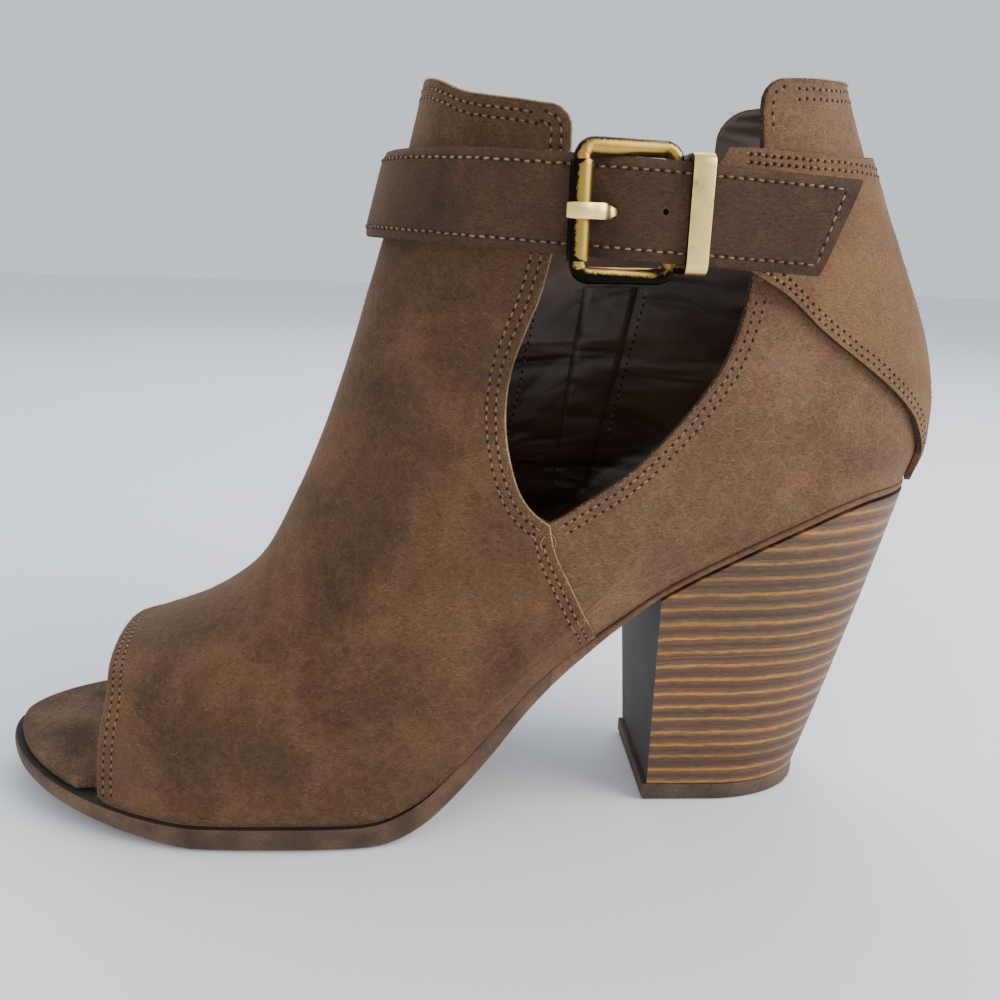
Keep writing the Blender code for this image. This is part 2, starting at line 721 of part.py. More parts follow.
def panel_shell(name):
    """The back panel as a sheet of even thickness, with its chape flared out to the buckle."""
    columns = panel_columns()
    points = []
    for offset in (PANEL_OUTER, PANEL_INNER):
        for turn, low, high in columns:
            low_level = level_at(turn, low, offset)
            high_level = level_at(turn, high, offset)
            for r in range(PANEL_ROWS + 1):
                level = low_level + (high_level - low_level) * r / PANEL_ROWS
                points.append(ring_point(level, turn, offset, CHAPE_FLARE))
    row = PANEL_ROWS + 1
    inner = len(columns) * row
    faces = []
    for c in range(len(columns) - 1):
        for r in range(PANEL_ROWS):
            a, b = c * row + r, (c + 1) * row + r
            faces.append((a, b, b + 1, a + 1))
            faces.append((inner + a, inner + a + 1, inner + b + 1, inner + b))
        for a in (c * row, c * row + PANEL_ROWS):
            faces.append((a, a + row, inner + a + row, inner + a))
    for start in (0, (len(columns) - 1) * row):
        for a in range(start, start + PANEL_ROWS):
            faces.append((a, a + 1, inner + a + 1, inner + a))
    return collection_object(name, mesh_from(name, points, faces))


def round_bar(name, start, end, radius, sides=12):
    """A straight round bar between two points."""
    direction = (end - start).normalized()
    side = direction.orthogonal().normalized()
    other = direction.cross(side)
    sections = []
    for centre in (start, end):
        sections.append([
            centre + side * (radius * math.cos(2 * math.pi * i / sides))
            + other * (radius * math.sin(2 * math.pi * i / sides))
            for i in range(sides)
        ])
    return tube(name, sections)


def hinge_point(height):
    return Vector((HINGE_X, HINGE_Y, strap_middle(HINGE_X) + height))


def make_back_panel():
    """The back panel with its chape, which ends in a loop round the buckle's hinge bar."""
    panel = panel_shell("back_panel")
    half = STRAP_WIDTH / 2 - GAP
    loop = helper(round_bar("chape_loop", hinge_point(-half), hinge_point(half), LOOP_RADIUS, 16))
    boolean(panel, loop, "UNION")
    reach = STRAP_WIDTH
    bore = round_bar("chape_bore", hinge_point(-reach), hinge_point(reach), WIRE_RADIUS + GAP, 16)
    boolean(panel, helper(bore), "DIFFERENCE")
    slot = PRONG_THICKNESS / 2 + 2 * GAP
    middle = buckle_middle()
    front = HINGE_X - 3 * LOOP_RADIUS
    rear = HINGE_X + LOOP_RADIUS + GAP
    outline = [(front, middle - slot), (rear, middle - slot), (rear, middle + slot), (front, middle + slot)]
    boolean(panel, prism("prong_slot", outline, -BALL_WIDTH, -GAP), "DIFFERENCE")
    return finish(panel)


def offset_ring(widen, height, inset=0.0):
    """The feather line moved out square to itself by a function of place."""
    outline = list(outline_places())
    places = []
    for share, side in outline:
        places.append(Vector((place_x(share), axis_y(share) + side * sole_half(share, side), 0)))
    ring = []
    for i, (share, side) in enumerate(outline):
        ahead = places[(i + 1) % SOLE_AROUND] - places[i - 1]
        outward = Vector((-ahead.y, ahead.x, 0)).normalized() * -1
        point = places[i] + outward * (widen(share) - inset)
        point.z = height(min(max(place_share(point.x), 0.0), 1.0))
        ring.append(point)
    return ring


def sole_margin(share):
    """How far the sole stands out past the upper: a welt's edge in front, flush behind."""
    fade = min(max((share - 0.40) / 0.22, 0.0), 1.0)
    return SOLE_MARGIN * (1 - fade * fade * (3 - 2 * fade))


def make_outsole():
    rings = []
    for up, inset in SOLE_EDGE:
        def height(share, mix=up):
            return sole_bottom(share) * (1 - mix) + sole_top(share) * mix
        rings.append(offset_ring(sole_margin, height, inset * SOLE_EDGE_BEVEL))
    return finish(loft("outsole", rings), 35)


def insole_inset(share):
    """The insole fills the open toe, and behind its edge it fits inside the lining."""
    open_end = (TOE_OPENING_DEPTH - TOE_OPENING_SLANT / 2) / LAST_LENGTH
    narrowing = INSOLE_STEP / LAST_LENGTH
    step = min(max((share - open_end + 2 * narrowing) / narrowing, 0.0), 1.0)
    inside = WALL + VAMP_STEP + INSOLE_EASE
    return -(2 * GAP + (inside - 2 * GAP) * step)


def make_insole():
    rings = []
    for up, inset in INSOLE_EDGE:
        def height(share, mix=up):
            return sole_top(share) + GAP + INSOLE_THICKNESS * mix
        rings.append(offset_ring(insole_inset, height, inset * INSOLE_EDGE_BEVEL))
    return finish(loft("insole", rings), 35)


def heel_outline():
    """Round half a D from the middle of the breast: rows of along its length and across its width."""
    breast_steps = 3
    back_steps = AROUND // 2 - breast_steps
    outline = [(0.0, i / breast_steps) for i in range(breast_steps)]
    for i in range(back_steps + 1):
        even = i / back_steps
        bunched = 1 - math.cos(math.pi / 2 * even)
        outline.append((bunched * (1 - HEEL_EVEN) + even * HEEL_EVEN, 1.0))
    return outline


def heel_ring(drop):
    """A section of the heel, from the seat at drop 0 to the ground face at drop 1."""
    half = heel_outline()
    sides = [(along, wide, -1) for along, wide in half]
    sides += [(along, wide, 1) for along, wide in reversed(half[1:-1])]
    bulge = 4 * drop * (1 - drop) * HEEL_BULGE
    ring = []
    for along, wide, side in sides:
        top_x = BREAST_X + (HEEL_BACK_X - BREAST_X) * along
        low_x = -LIFT_LENGTH / 2 + LIFT_LIP + (LIFT_LENGTH - LIFT_LIP) * along
        share = place_share(top_x)
        top_y = axis_y(share) + side * sole_half(share, side) * wide
        low_y = side * LIFT_WIDTH / 2 * round_end((1 - along) / LIFT_ROUND, 2.0) * wide
        top_z = sole_bottom(share) - GAP
        low_z = LIFT_THICKNESS + GAP
        ring.append(Vector((
            top_x * (1 - drop) + low_x * drop + bulge * along,
            top_y * (1 - drop) + low_y * drop,
            top_z * (1 - drop) + low_z * drop,
        )))
    return ring


def make_heel():
    rings = [heel_ring(drop) for drop in (1.0, 0.8, 0.6, 0.4, 0.2, 0.0)]
    return finish(loft("heel", rings), 50)


def make_top_lift():
    """The lift, which stands out past the heel by its lip at the breast."""
    base = heel_ring(1.0)
    breast = min(point.x for point in base)
    rings = []
    for height, shrink in ((0.0, 0.985), (0.25, 1.0), (1.0, 1.0)):
        ring = []
        for point in base:
            x = point.x - LIFT_LIP if point.x < breast + LIFT_LIP / 4 else point.x
            ring.append(Vector((x * shrink, point.y * shrink, LIFT_THICKNESS * height)))
        rings.append(ring)
    return finish(loft("top_lift", rings), 50)


def strap_centres():
    """Points along the strap's middle, each with the way that its face looks."""
    run = []
    turns = smooth_run([(turn, off) for turn, off in STRAP_PATH], 4)
    hug = PANEL_OUTER + GAP + STRAP_THICKNESS / 2
    for turn, off in turns:
        level = level_at(turn, strap_middle, hug)
        point = ring_point(level, turn, hug + STRAP_BULGE * off)
        above = ring_point(level + 0.3, turn, hug + STRAP_BULGE * off)
        point.z = strap_middle(point.x)
        run.append((point, (above - point).normalized()))
    half = STRAP_THICKNESS / 2
    under_roller = ROLLER_Y + WIRE_RADIUS + ROLLER_WALL + 2 * GAP + half
    over_loop = HINGE_Y - LOOP_RADIUS - GAP - half
    upright = Vector((0, 0, 1))
    way = [
        (ROLLER_X + BAR_SPACING * along, under_roller + (over_loop - under_roller) * over)
        for along, over in THROUGH_BUCKLE
    ]
    way += [(HINGE_X + TAIL_LENGTH * along, over_loop + TAIL_RETURN * back) for along, back in TAIL]
    return run + [(Vector((x, y, strap_middle(x))), upright) for x, y in way]


def strap_sections():
    centres = strap_centres()
    points = smooth_run([tuple(point) + tuple(up) for point, up in centres], 2)
    sections = []
    for i, row in enumerate(points):
        here = Vector(row[:3])
        before = Vector(points[max(i - 1, 0)][:3])
        after = Vector(points[min(i + 1, len(points) - 1)][:3])
        up = Vector(row[3:]).normalized()
        out = up.cross(after - before).normalized()
        half = up * (STRAP_WIDTH / 2)
        wall = out * (STRAP_THICKNESS / 2)
        slant = Vector((TAIL_SLANT / 2, 0, 0)) if i == len(points) - 1 else Vector()
        sections.append([here + half + wall + slant, here - half + wall - slant,
                         here - half - wall - slant, here + half - wall + slant])
    return sections


def make_strap():
    strap = tube("strap", strap_sections())
    centre_x = HINGE_X - BAR_SPACING * PRONG_HOLE_PLACE
    middle = buckle_middle()
    length, height = PRONG_HOLE_LENGTH / 2, PRONG_THICKNESS / 2 + 2 * GAP
    outline = [
        (centre_x + length * math.cos(math.radians(a)), middle + height * math.sin(math.radians(a)))
        for a in range(0, 360, 30)
    ]
    boolean(strap, prism("prong_hole", outline, -BALL_WIDTH, -GAP), "DIFFERENCE")
    return finish(strap)


def frame_centre(corner_x, corner_z):
    """A point of the frame's wire, on the plane that leans from roller to hinge."""
    x = BUCKLE_X + corner_x
    lean = corner_x / (BUCKLE_LENGTH / 2 - WIRE_RADIUS)
    return Vector((x, -BUCKLE_STAND_OFF + BUCKLE_LEAN / 2 * lean, buckle_middle() + corner_z))


def make_buckle_frame():
    """A rectangular ring of round wire with rounded corners."""
    half_x = BUCKLE_LENGTH / 2 - WIRE_RADIUS
    half_z = BUCKLE_HEIGHT / 2 - WIRE_RADIUS
    corner = BUCKLE_CORNER
    centres = []
    for sign_x, sign_z, start in ((1, 1, 0), (-1, 1, 90), (-1, -1, 180), (1, -1, 270)):
        for step in range(5):
            angle = math.radians(start + 22.5 * step)
            x = sign_x * (half_x - corner) + corner * math.cos(angle)
            z = sign_z * (half_z - corner) + corner * math.sin(angle)
            centres.append(frame_centre(x, z))
    sections = []
    across = Vector((-BUCKLE_LEAN / 2, -half_x, 0)).normalized()
    sides = 10
    for i, centre in enumerate(centres):
        along = (centres[(i + 1) % len(centres)] - centres[i - 1]).normalized()
        outward = across.cross(along).normalized()
        sections.append([
            centre + across * (WIRE_RADIUS * math.cos(2 * math.pi * k / sides))
            + outward * (WIRE_RADIUS * math.sin(2 * math.pi * k / sides))
            for k in range(sides)
        ])
    return finish(ring_tube("buckle_frame", sections))


def make_buckle_roller():
    """A sleeve that turns on the frame's front bar."""
    half = BUCKLE_HEIGHT / 2 - WIRE_RADIUS - BUCKLE_CORNER - GAP
    middle = buckle_middle()
    sides = 16
    sections = []
    inner = WIRE_RADIUS + TURNING_GAP
    outer = WIRE_RADIUS + ROLLER_WALL
    for radius, height in ((inner, -half), (outer, -half), (outer, half), (inner, half)):
        sections.append([
            Vector((
                ROLLER_X + radius * math.cos(2 * math.pi * k / sides),
                ROLLER_Y + radius * math.sin(2 * math.pi * k / sides),
                middle + height,
            ))
            for k in range(sides)
        ])
    return finish(ring_tube("buckle_roller", sections))


def make_buckle_prong():
    """The prong: a ring on the hinge bar, a shank under the strap and a tip on the roller."""
    middle = buckle_middle()
    inner = WIRE_RADIUS + TURNING_GAP
    rise = WIRE_RADIUS + ROLLER_WALL + GAP + PRONG_THICKNESS / 2
    path = [
        (HINGE_X - BAR_SPACING * along, HINGE_Y - BUCKLE_LEAN * along - rise * out)
        for along, out in PRONG_PATH
    ]
    run = smooth_run(path, 3)
    sections = []
    half = PRONG_THICKNESS / 2
    sides = 8
    for i, (x, y) in enumerate(run):
        before, after = run[max(i - 1, 0)], run[min(i + 1, len(run) - 1)]
        along = Vector((after[0] - before[0], after[1] - before[1], 0)).normalized()
        across = Vector((-along.y, along.x, 0))
        centre = Vector((x, y, middle))
        taper = 1.0 if i < len(run) - 2 else (0.85 if i == len(run) - 2 else 0.5)
        sections.append([
            centre + (across * math.cos(math.radians(a)) + Vector((0, 0, math.sin(math.radians(a)))))
            * (half * taper)
            for a in (22.5 + 360 / sides * k for k in range(sides))
        ])
    prong = tube("buckle_prong", sections)
    low, high = (Vector((HINGE_X, HINGE_Y, middle + side * half)) for side in (-1, 1))
    ring = helper(round_bar("prong_ring", low, high, inner + PRONG_RING, 16))
    boolean(prong, ring, "UNION")
    bore = round_bar("prong_bore", hinge_point(-STRAP_WIDTH), hinge_point(STRAP_WIDTH), inner, 16)
    boolean(prong, helper(bore), "DIFFERENCE")
    return finish(prong)


def make_buckle_keeper():
    """A flat metal loop that holds the tail against the chape."""
    front = HINGE_X + WIRE_RADIUS + GAP
    middle = strap_middle(front + KEEPER_WIDTH / 2)
    over_loop = HINGE_Y - LOOP_RADIUS - GAP - STRAP_THICKNESS
    outer = over_loop - 1.5 * GAP
    inner = HINGE_Y + LOOP_RADIUS + GAP
    half = STRAP_WIDTH / 2 + KEEPER_EASE
    corner = KEEPER_CORNER
    centre_y = (outer + inner) / 2
    half_y = (inner - outer) / 2
    sections = []
    for sign_y, sign_z, start in ((1, 1, 0), (-1, 1, 90), (-1, -1, 180), (1, -1, 270)):
        for step in range(4):
            angle = math.radians(start + 30 * step)
            direction = Vector((0, math.cos(angle), math.sin(angle)))
            base = Vector((0, centre_y + sign_y * (half_y - corner), middle + sign_z * (half - corner)))
            near = base + direction * corner
            far = base + direction * (corner + KEEPER_BAR)
            sections.append([
                near + Vector((front, 0, 0)), near + Vector((front + KEEPER_WIDTH, 0, 0)),
                far + Vector((front + KEEPER_WIDTH, 0, 0)), far + Vector((front, 0, 0)),
            ])
    return finish(ring_tube("buckle_keeper", sections))


def main():
    for obj in list(bpy.data.objects):
        bpy.data.objects.remove(obj, do_unlink=True)
    make_outsole()
    make_insole()
    make_heel()
    make_top_lift()
    make_upper()
    make_back_panel()
    make_strap()
    make_buckle_frame()
    make_buckle_roller()
    make_buckle_prong()
    make_buckle_keeper()


main()
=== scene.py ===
import math

import bpy
import numpy as np
from mathutils import Matrix, Vector
from mathutils.bvhtree import BVHTree


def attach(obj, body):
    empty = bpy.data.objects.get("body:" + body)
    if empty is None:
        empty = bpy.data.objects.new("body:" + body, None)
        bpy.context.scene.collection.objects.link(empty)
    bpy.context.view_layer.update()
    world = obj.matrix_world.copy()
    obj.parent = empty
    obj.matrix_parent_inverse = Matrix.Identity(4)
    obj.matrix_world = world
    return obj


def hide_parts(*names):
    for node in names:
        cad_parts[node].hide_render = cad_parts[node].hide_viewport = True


# Looks of a left open toe bootie: nubuck upper, buckled strap, stacked heel.
# The toe points to -X and the buckle side faces -Y. Lengths are in metres.

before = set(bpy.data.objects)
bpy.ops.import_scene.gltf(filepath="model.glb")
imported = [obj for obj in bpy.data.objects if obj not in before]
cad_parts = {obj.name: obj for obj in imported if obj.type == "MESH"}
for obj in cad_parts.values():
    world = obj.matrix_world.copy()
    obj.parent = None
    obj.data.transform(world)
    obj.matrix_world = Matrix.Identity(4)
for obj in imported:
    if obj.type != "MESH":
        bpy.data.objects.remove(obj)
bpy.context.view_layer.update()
bpy.ops.object.select_all(action="DESELECT")
mm = 0.001
dice = np.random.default_rng(39)


# ---- objects

def makeObject(name, points, faces, material=None):
    mesh = bpy.data.meshes.new(name)
    mesh.from_pydata([tuple(p) for p in points], [], faces)
    made = bpy.data.objects.new(name, mesh)
    bpy.context.scene.collection.objects.link(made)
    if material:
        mesh.materials.append(material)
    return made


def choose(piece):
    bpy.ops.object.select_all(action="DESELECT")
    piece.select_set(True)
    bpy.context.view_layer.objects.active = piece


def faceOutwards(piece):
    choose(piece)
    bpy.ops.object.mode_set(mode="EDIT")
    bpy.ops.mesh.select_all(action="SELECT")
    bpy.ops.mesh.remove_doubles(threshold=0.000005)
    bpy.ops.mesh.normals_make_consistent(inside=False)
    bpy.ops.object.mode_set(mode="OBJECT")


def smoothBy(piece, degrees=38):
    choose(piece)
    bpy.ops.object.shade_smooth_by_angle(angle=math.radians(degrees))


def applyModifier(piece, kind, **settings):
    modifier = piece.modifiers.new(kind.title(), kind)
    for key, value in settings.items():
        setattr(modifier, key, value)
    choose(piece)
    bpy.ops.object.modifier_apply(modifier=modifier.name)


def cutWith(piece, tool, operation="DIFFERENCE"):
    applyModifier(piece, "BOOLEAN", object=tool, operation=operation, solver="EXACT", material_mode="TRANSFER")
    bpy.data.objects.remove(tool)


def placeInMesh(piece):
    # its place, turn and size go into the mesh; the export puts each object at the
    # origin, so its place goes into the mesh
    choose(piece)
    bpy.ops.object.transform_apply(location=True, rotation=True, scale=True)


def dress(piece, slot, *nodes):
    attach(piece, "root")
    if nodes:
        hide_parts(*nodes)


def bandFaces(rings, count, closed=False):
    # the faces between rings of points that follow one another
    faces = []
    for s in range(rings if closed else rings - 1):
        t = (s + 1) % rings
        for i in range(count):
            j = (i + 1) % count
            faces.append((s * count + i, s * count + j, t * count + j, t * count + i))
    return faces


def tubeThrough(name, sections, material=None, closed=False):
    count = len(sections[0])
    points = [p for section in sections for p in section]
    faces = bandFaces(len(sections), count, closed)
    if not closed:
        faces += [tuple(range(count)), tuple(range(len(points) - count, len(points)))]
    made = makeObject(name, points, faces, material)
    faceOutwards(made)
    return made


def boreWith(piece, material, operation="DIFFERENCE", stretch=(1, 1, 1), **cylinder):
    # a cylinder taken from the piece or joined to it
    bpy.ops.mesh.primitive_cylinder_add(**cylinder)
    tool = bpy.context.object
    tool.scale = stretch
    tool.data.materials.append(material)
    placeInMesh(tool)
    cutWith(piece, tool, operation)


def curveThrough(points, steps):
    points = [np.array(p, float) for p in points]
    run = []
    for i in range(len(points) - 1):
        a, b, c = points[max(i - 1, 0)], points[i], points[i + 1]
        d = points[min(i + 2, len(points) - 1)]
        for s in range(steps):
            t = s / steps
            run.append(0.5 * (2 * b + (c - a) * t + (2 * a - 5 * b + 4 * c - d) * t**2
                              + (3 * b - a - 3 * c + d) * t**3))
    return run + [points[-1]]


# ---- materials

def hexColour(text, strength=1.0):
    channels = [int(text[i:i + 2], 16) / 255 for i in (1, 3, 5)]
    linear = [c / 12.92 if c <= 0.04045 else ((c + 0.055) / 1.055) ** 2.4 for c in channels]
    return (*[c * strength for c in linear], 1.0)


def toneOf(tone):
    # a ramp's tone: a hex colour, a level of grey, or a colour that is linear already
    if isinstance(tone, str):
        return hexColour(tone)
    return (tone, tone, tone, 1.0) if isinstance(tone, float) else tone


def outputOf(value):
    return value.outputs[0] if isinstance(value, bpy.types.Node) else value


def addNode(tree, kind, links=None, stops=None, **settings):
    # links gives each socket of the new node a value, a socket, or a node to read at its first output
    node = tree.nodes.new("ShaderNode" + kind)
    for key, value in settings.items():
        setattr(node, key, value)
    for key, value in (links or {}).items():
        value = outputOf(value)
        if isinstance(value, bpy.types.NodeSocket):
            tree.links.new(value, node.inputs[key])
        else:
            node.inputs[key].default_value = value
    if stops:
        elements = node.color_ramp.elements
        for element, (place, tone) in ((elements[0], stops[0]), (elements[1], stops[-1])):
            element.position, element.color = place, toneOf(tone)
        for place, tone in stops[1:-1]:
            elements.new(place).color = toneOf(tone)
    return node


def newMaterial(name, **sockets):
    material = bpy.data.materials.new(name)
    material.use_nodes = True
    tree = material.node_tree
    shader = tree.nodes["Principled BSDF"]
    for key, value in sockets.items():
        shader.inputs[key.replace("_", " ")].default_value = value
    return material, tree, shader


def finishMaterial(tree, shader, colour, height, strength, depth):
    # the colour and the relief reach the shader; depth is in millimetres
    bump = addNode(tree, "Bump", {"Height": height, "Strength": strength, "Distance": depth * mm})
    tree.links.new(outputOf(colour), shader.inputs["Base Color"])
    tree.links.new(bump.outputs[0], shader.inputs["Normal"])


def placeInMillimetres(tree, stretch=(1, 1, 1), turn=(0, 0, 0), shift=(0, 0, 0)):
    place = addNode(tree, "TexCoord")
    return addNode(tree, "Mapping", {"Vector": place.outputs["Object"], "Location": shift, "Rotation": turn,
                                     "Scale": tuple(1000 * s for s in stretch)})


def nubuck(name, tones, seed, creased=1.0, darkPatches=()):
    # faux nubuck: a matt brushed nap with cloudy wax patches, fibres and pulled-up creases
    material, tree, shader = newMaterial(name, Roughness=0.8, Sheen_Weight=0.18, Sheen_Roughness=0.4,
                                         Sheen_Tint=hexColour("#d8b48c"), Specular_IOR_Level=0.3)
    place = placeInMillimetres(tree, shift=(seed * 31.0, seed * 17.0, seed * 5.0))
    # wax patches 30 to 50 mm across
    clouds = addNode(tree, "TexNoise", {"Vector": place, "Scale": 0.04, "Detail": 3.0, "Roughness": 0.55,
                                        "Distortion": 0.6})
    # brushed marks 6 to 12 mm across
    marks = addNode(tree, "TexNoise", {"Vector": place, "Scale": 0.13, "Detail": 5.0, "Roughness": 0.68,
                                       "Distortion": 1.5})
    # fibres about 0.15 mm thick and 1 mm long; drawn 0.35 mm thick so that they show, lying two ways
    fibres = []
    for turn in ((0.3, 0.75, 0.2), (-0.2, -0.55, -0.3)):
        lying = placeInMillimetres(tree, stretch=(0.5, 1.1, 1.6), turn=turn, shift=(seed, seed, seed))
        fibres.append(addNode(tree, "TexNoise", {"Vector": lying, "Scale": 1.9, "Detail": 2.0,
                                                 "Roughness": 0.7, "Distortion": 0.5}))
    lie = addNode(tree, "MapRange", {"Value": marks, "From Min": 0.42, "From Max": 0.58})
    nap = addNode(tree, "Mix", {0: lie, 2: fibres[0], 3: fibres[1]}, data_type="FLOAT")
    # a net of pulled-up creases about 4 mm apart, each a thin pale line
    wobble = addNode(tree, "VectorMath", {0: marks.outputs["Color"], 1: (6.0, 6.0, 6.0)}, operation="MULTIPLY")
    wandering = addNode(tree, "VectorMath", {0: place, 1: wobble})
    net = addNode(tree, "TexVoronoi", {"Vector": wandering, "Scale": 0.24}, feature="DISTANCE_TO_EDGE")
    crease = addNode(tree, "MapRange", {"Value": net, "From Min": 0.0, "From Max": 0.09, "To Min": 1.0,
                                        "To Max": 0.0})
    tone = addNode(tree, "Math", {0: clouds, 1: 0.72}, operation="MULTIPLY")
    tone = addNode(tree, "Math", {0: marks, 1: 0.28, 2: tone}, operation="MULTIPLY_ADD")
    here = addNode(tree, "TexCoord").outputs["Object"]
    for x, y, z, radius, depth in darkPatches:
        # a soft darker patch at its given place
        far = addNode(tree, "VectorMath", {0: here, 1: (x * mm, y * mm, z * mm)}, operation="DISTANCE")
        mark = addNode(tree, "MapRange", {"Value": far.outputs["Value"], "From Min": 0.0,
                                          "From Max": radius * mm, "To Min": depth, "To Max": 0.0},
                       interpolation_type="SMOOTHSTEP")
        tone = addNode(tree, "Math", {0: tone, 1: mark}, operation="SUBTRACT")
    ground = addNode(tree, "ValToRGB", {0: tone}, stops=[(0.20, tones[0]), (0.48, tones[1]), (0.78, tones[2])])
    shade = addNode(tree, "ValToRGB", {0: nap}, stops=[(0.28, 0.42), (0.46, 0.88), (0.60, 1.18), (0.76, 1.75)])
    colour = addNode(tree, "Mix", {0: 1.0, 6: ground, 7: shade}, data_type="RGBA", blend_type="MULTIPLY")
    veined = addNode(tree, "Math", {0: crease, 1: 0.13 * creased}, operation="MULTIPLY")
    colour = addNode(tree, "Mix", {0: veined, 6: colour.outputs[2], 7: hexColour(tones[3])}, data_type="RGBA")
    height = addNode(tree, "Math", {0: crease, 1: -0.25 * creased, 2: nap}, operation="MULTIPLY_ADD")
    swell = addNode(tree, "Math", {0: marks, 1: 1.6, 2: height}, operation="MULTIPLY_ADD")
    finishMaterial(tree, shader, colour.outputs[2], swell, 0.55, 0.35)
    return material


# soft darker patches: place and radius in millimetres, depth
vampDarkPatches = ((-143, -30, 36, 15, 0.08), (-113, -30, 54, 15, 0.07), (-103, -31, 59, 13, 0.08),
              (-81, -37, 53, 13, 0.06), (-120, -39, 24, 14, 0.03), (-92, -25, 105, 15, 0.04))
quarterDarkPatches = ((-24, -34, 60, 14, 0.06), (14, -32, 96, 12, 0.06), (30, 30, 100, 14, 0.06))
upperNubuck = nubuck("upperNubuck", ("#2f2015", "#513823", "#735236", "#836548"), 1.0, 1.0, vampDarkPatches)
# the quarter's nubuck is lighter than the vamp's: partly its own lighter tan, partly painted light from the window
# on the right
quarterNubuckWithPaintedLight = nubuck("quarterNubuckWithPaintedLight", ("#463122", "#634731", "#7c5c42", "#967659"), 2.0, 1.2, quarterDarkPatches)
strapNubuck = nubuck("strapNubuck", ("#2b1c12", "#432d1d", "#5e412a", "#70543a"), 3.0, 0.3)


def rawEdge():
    # the cut edge of the board and suede: dark dyed fibre with pale threads in it
    material, tree, shader = newMaterial("rawEdge", Roughness=0.9, Specular_IOR_Level=0.2)
    fibre = addNode(tree, "TexNoise", {"Vector": placeInMillimetres(tree), "Scale": 2.2, "Detail": 4.0,
                                       "Roughness": 0.7})
    colour = addNode(tree, "ValToRGB", {0: fibre}, stops=[(0.35, "#2a1c13"), (0.55, "#4a3524"), (0.72, "#7d6048")])
    finishMaterial(tree, shader, colour, fibre, 0.7, 0.3)
    return material


def liningSatin():
    # coated lining cloth: dark espresso, a soft gloss that shows each pucker
    material, tree, shader = newMaterial("liningSatin", Roughness=0.3, Specular_IOR_Level=0.5)
    # puckers run across the lining every 12 to 20 mm
    across = placeInMillimetres(tree, stretch=(0.35, 0.35, 1.0), turn=(0, -0.22, 0))
    pucker = addNode(tree, "TexNoise", {"Vector": across, "Scale": 0.065, "Detail": 2.0, "Roughness": 0.45,
                                        "Distortion": 1.0})
    grain = addNode(tree, "TexNoise", {"Vector": placeInMillimetres(tree), "Scale": 2.4, "Detail": 2.0})
    # darker in the puckers' hollows and lighter on their crests: painted shade and painted highlight
    colour = addNode(tree, "ValToRGB", {0: pucker}, stops=[(0.3, "#3a2a20"), (0.7, "#5c4636")])
    height = addNode(tree, "Math", {0: grain, 1: 0.03, 2: pucker}, operation="MULTIPLY_ADD")
    finishMaterial(tree, shader, colour, height, 0.8, 3.0)
    return material


def speckled(name, tones, scale, roughness, depth, speck=0.5):
    # a matt body with fine specks and a faint cloud
    material, tree, shader = newMaterial(name, Roughness=roughness, Specular_IOR_Level=0.35)
    place = placeInMillimetres(tree)
    cloud = addNode(tree, "TexNoise", {"Vector": place, "Scale": 0.08, "Detail": 3.0})
    fine = addNode(tree, "TexNoise", {"Vector": place, "Scale": scale, "Detail": 3.0, "Roughness": 0.7})
    mixed = addNode(tree, "Mix", {0: speck, 2: cloud, 3: fine}, data_type="FLOAT")
    colour = addNode(tree, "ValToRGB", {0: mixed}, stops=[(0.36, tones[0]), (0.5, tones[1]), (0.64, tones[2])])
    finishMaterial(tree, shader, colour, fine, 0.4, depth)
    return material


def stackedLeather():
    # stacked heel leather: level layers about 4 mm high, caramel to brown, with fine cut streaks
    material, tree, shader = newMaterial("stackedLeather", Roughness=0.5, Specular_IOR_Level=0.45)
    # the layers wander a little in height, as cut leather does
    wander = addNode(tree, "TexNoise", {"Vector": placeInMillimetres(tree), "Scale": 0.12, "Detail": 3.0,
                                        "Roughness": 0.6})
    lifted = addNode(tree, "CombineXYZ", {2: wander})
    level = addNode(tree, "VectorMath", {0: lifted, 1: (1.1, 1.1, 1.1),
                                         2: placeInMillimetres(tree, stretch=(0.006, 0.006, 1.0))},
                    operation="MULTIPLY_ADD")
    layers = addNode(tree, "TexWave", {"Vector": level, "Scale": 0.0785, "Distortion": 1.8, "Detail": 2.0,
                                       "Detail Scale": 1.4, "Detail Roughness": 0.6}, bands_direction="Z")
    uneven = addNode(tree, "TexNoise", {"Vector": level, "Scale": 0.11, "Detail": 2.0})
    thin = addNode(tree, "TexNoise", {"Vector": level, "Scale": 1.5, "Detail": 2.0, "Roughness": 0.7})
    cut = placeInMillimetres(tree, stretch=(0.30, 0.30, 2.6))
    streak = addNode(tree, "TexNoise", {"Vector": cut, "Scale": 1.2, "Detail": 3.0, "Roughness": 0.75,
                                        "Distortion": 0.6})
    colour = addNode(tree, "ValToRGB", {0: layers.outputs["Fac"]},
                     stops=[(0.02, "#4a3220"), (0.22, "#583c22"), (0.70, "#624323"), (0.86, "#704c24"),
                            (0.97, "#97692c")]).outputs[0]
    # some layers are darker than their neighbours, thin lines lie about 0.6 mm high, and the cut
    # streaks are 0.3 mm high and 6 mm long
    for pattern, stops in ((uneven, [(0.36, 0.72), (0.5, 1.0), (0.64, 1.22)]),
                           (thin, [(0.34, 0.72), (0.47, 0.95), (0.56, 1.05), (0.68, 1.28)]),
                           (streak, [(0.34, 0.62), (0.5, 1.0), (0.66, 1.42)])):
        shade = addNode(tree, "ValToRGB", {0: pattern}, stops=stops)
        colour = addNode(tree, "Mix", {0: 1.0, 6: colour, 7: shade}, data_type="RGBA",
                         blend_type="MULTIPLY").outputs[2]
    height = addNode(tree, "Math", {0: thin, 1: 0.5, 2: streak}, operation="MULTIPLY_ADD")
    finishMaterial(tree, shader, colour, height, 0.35, 0.25)
    return material


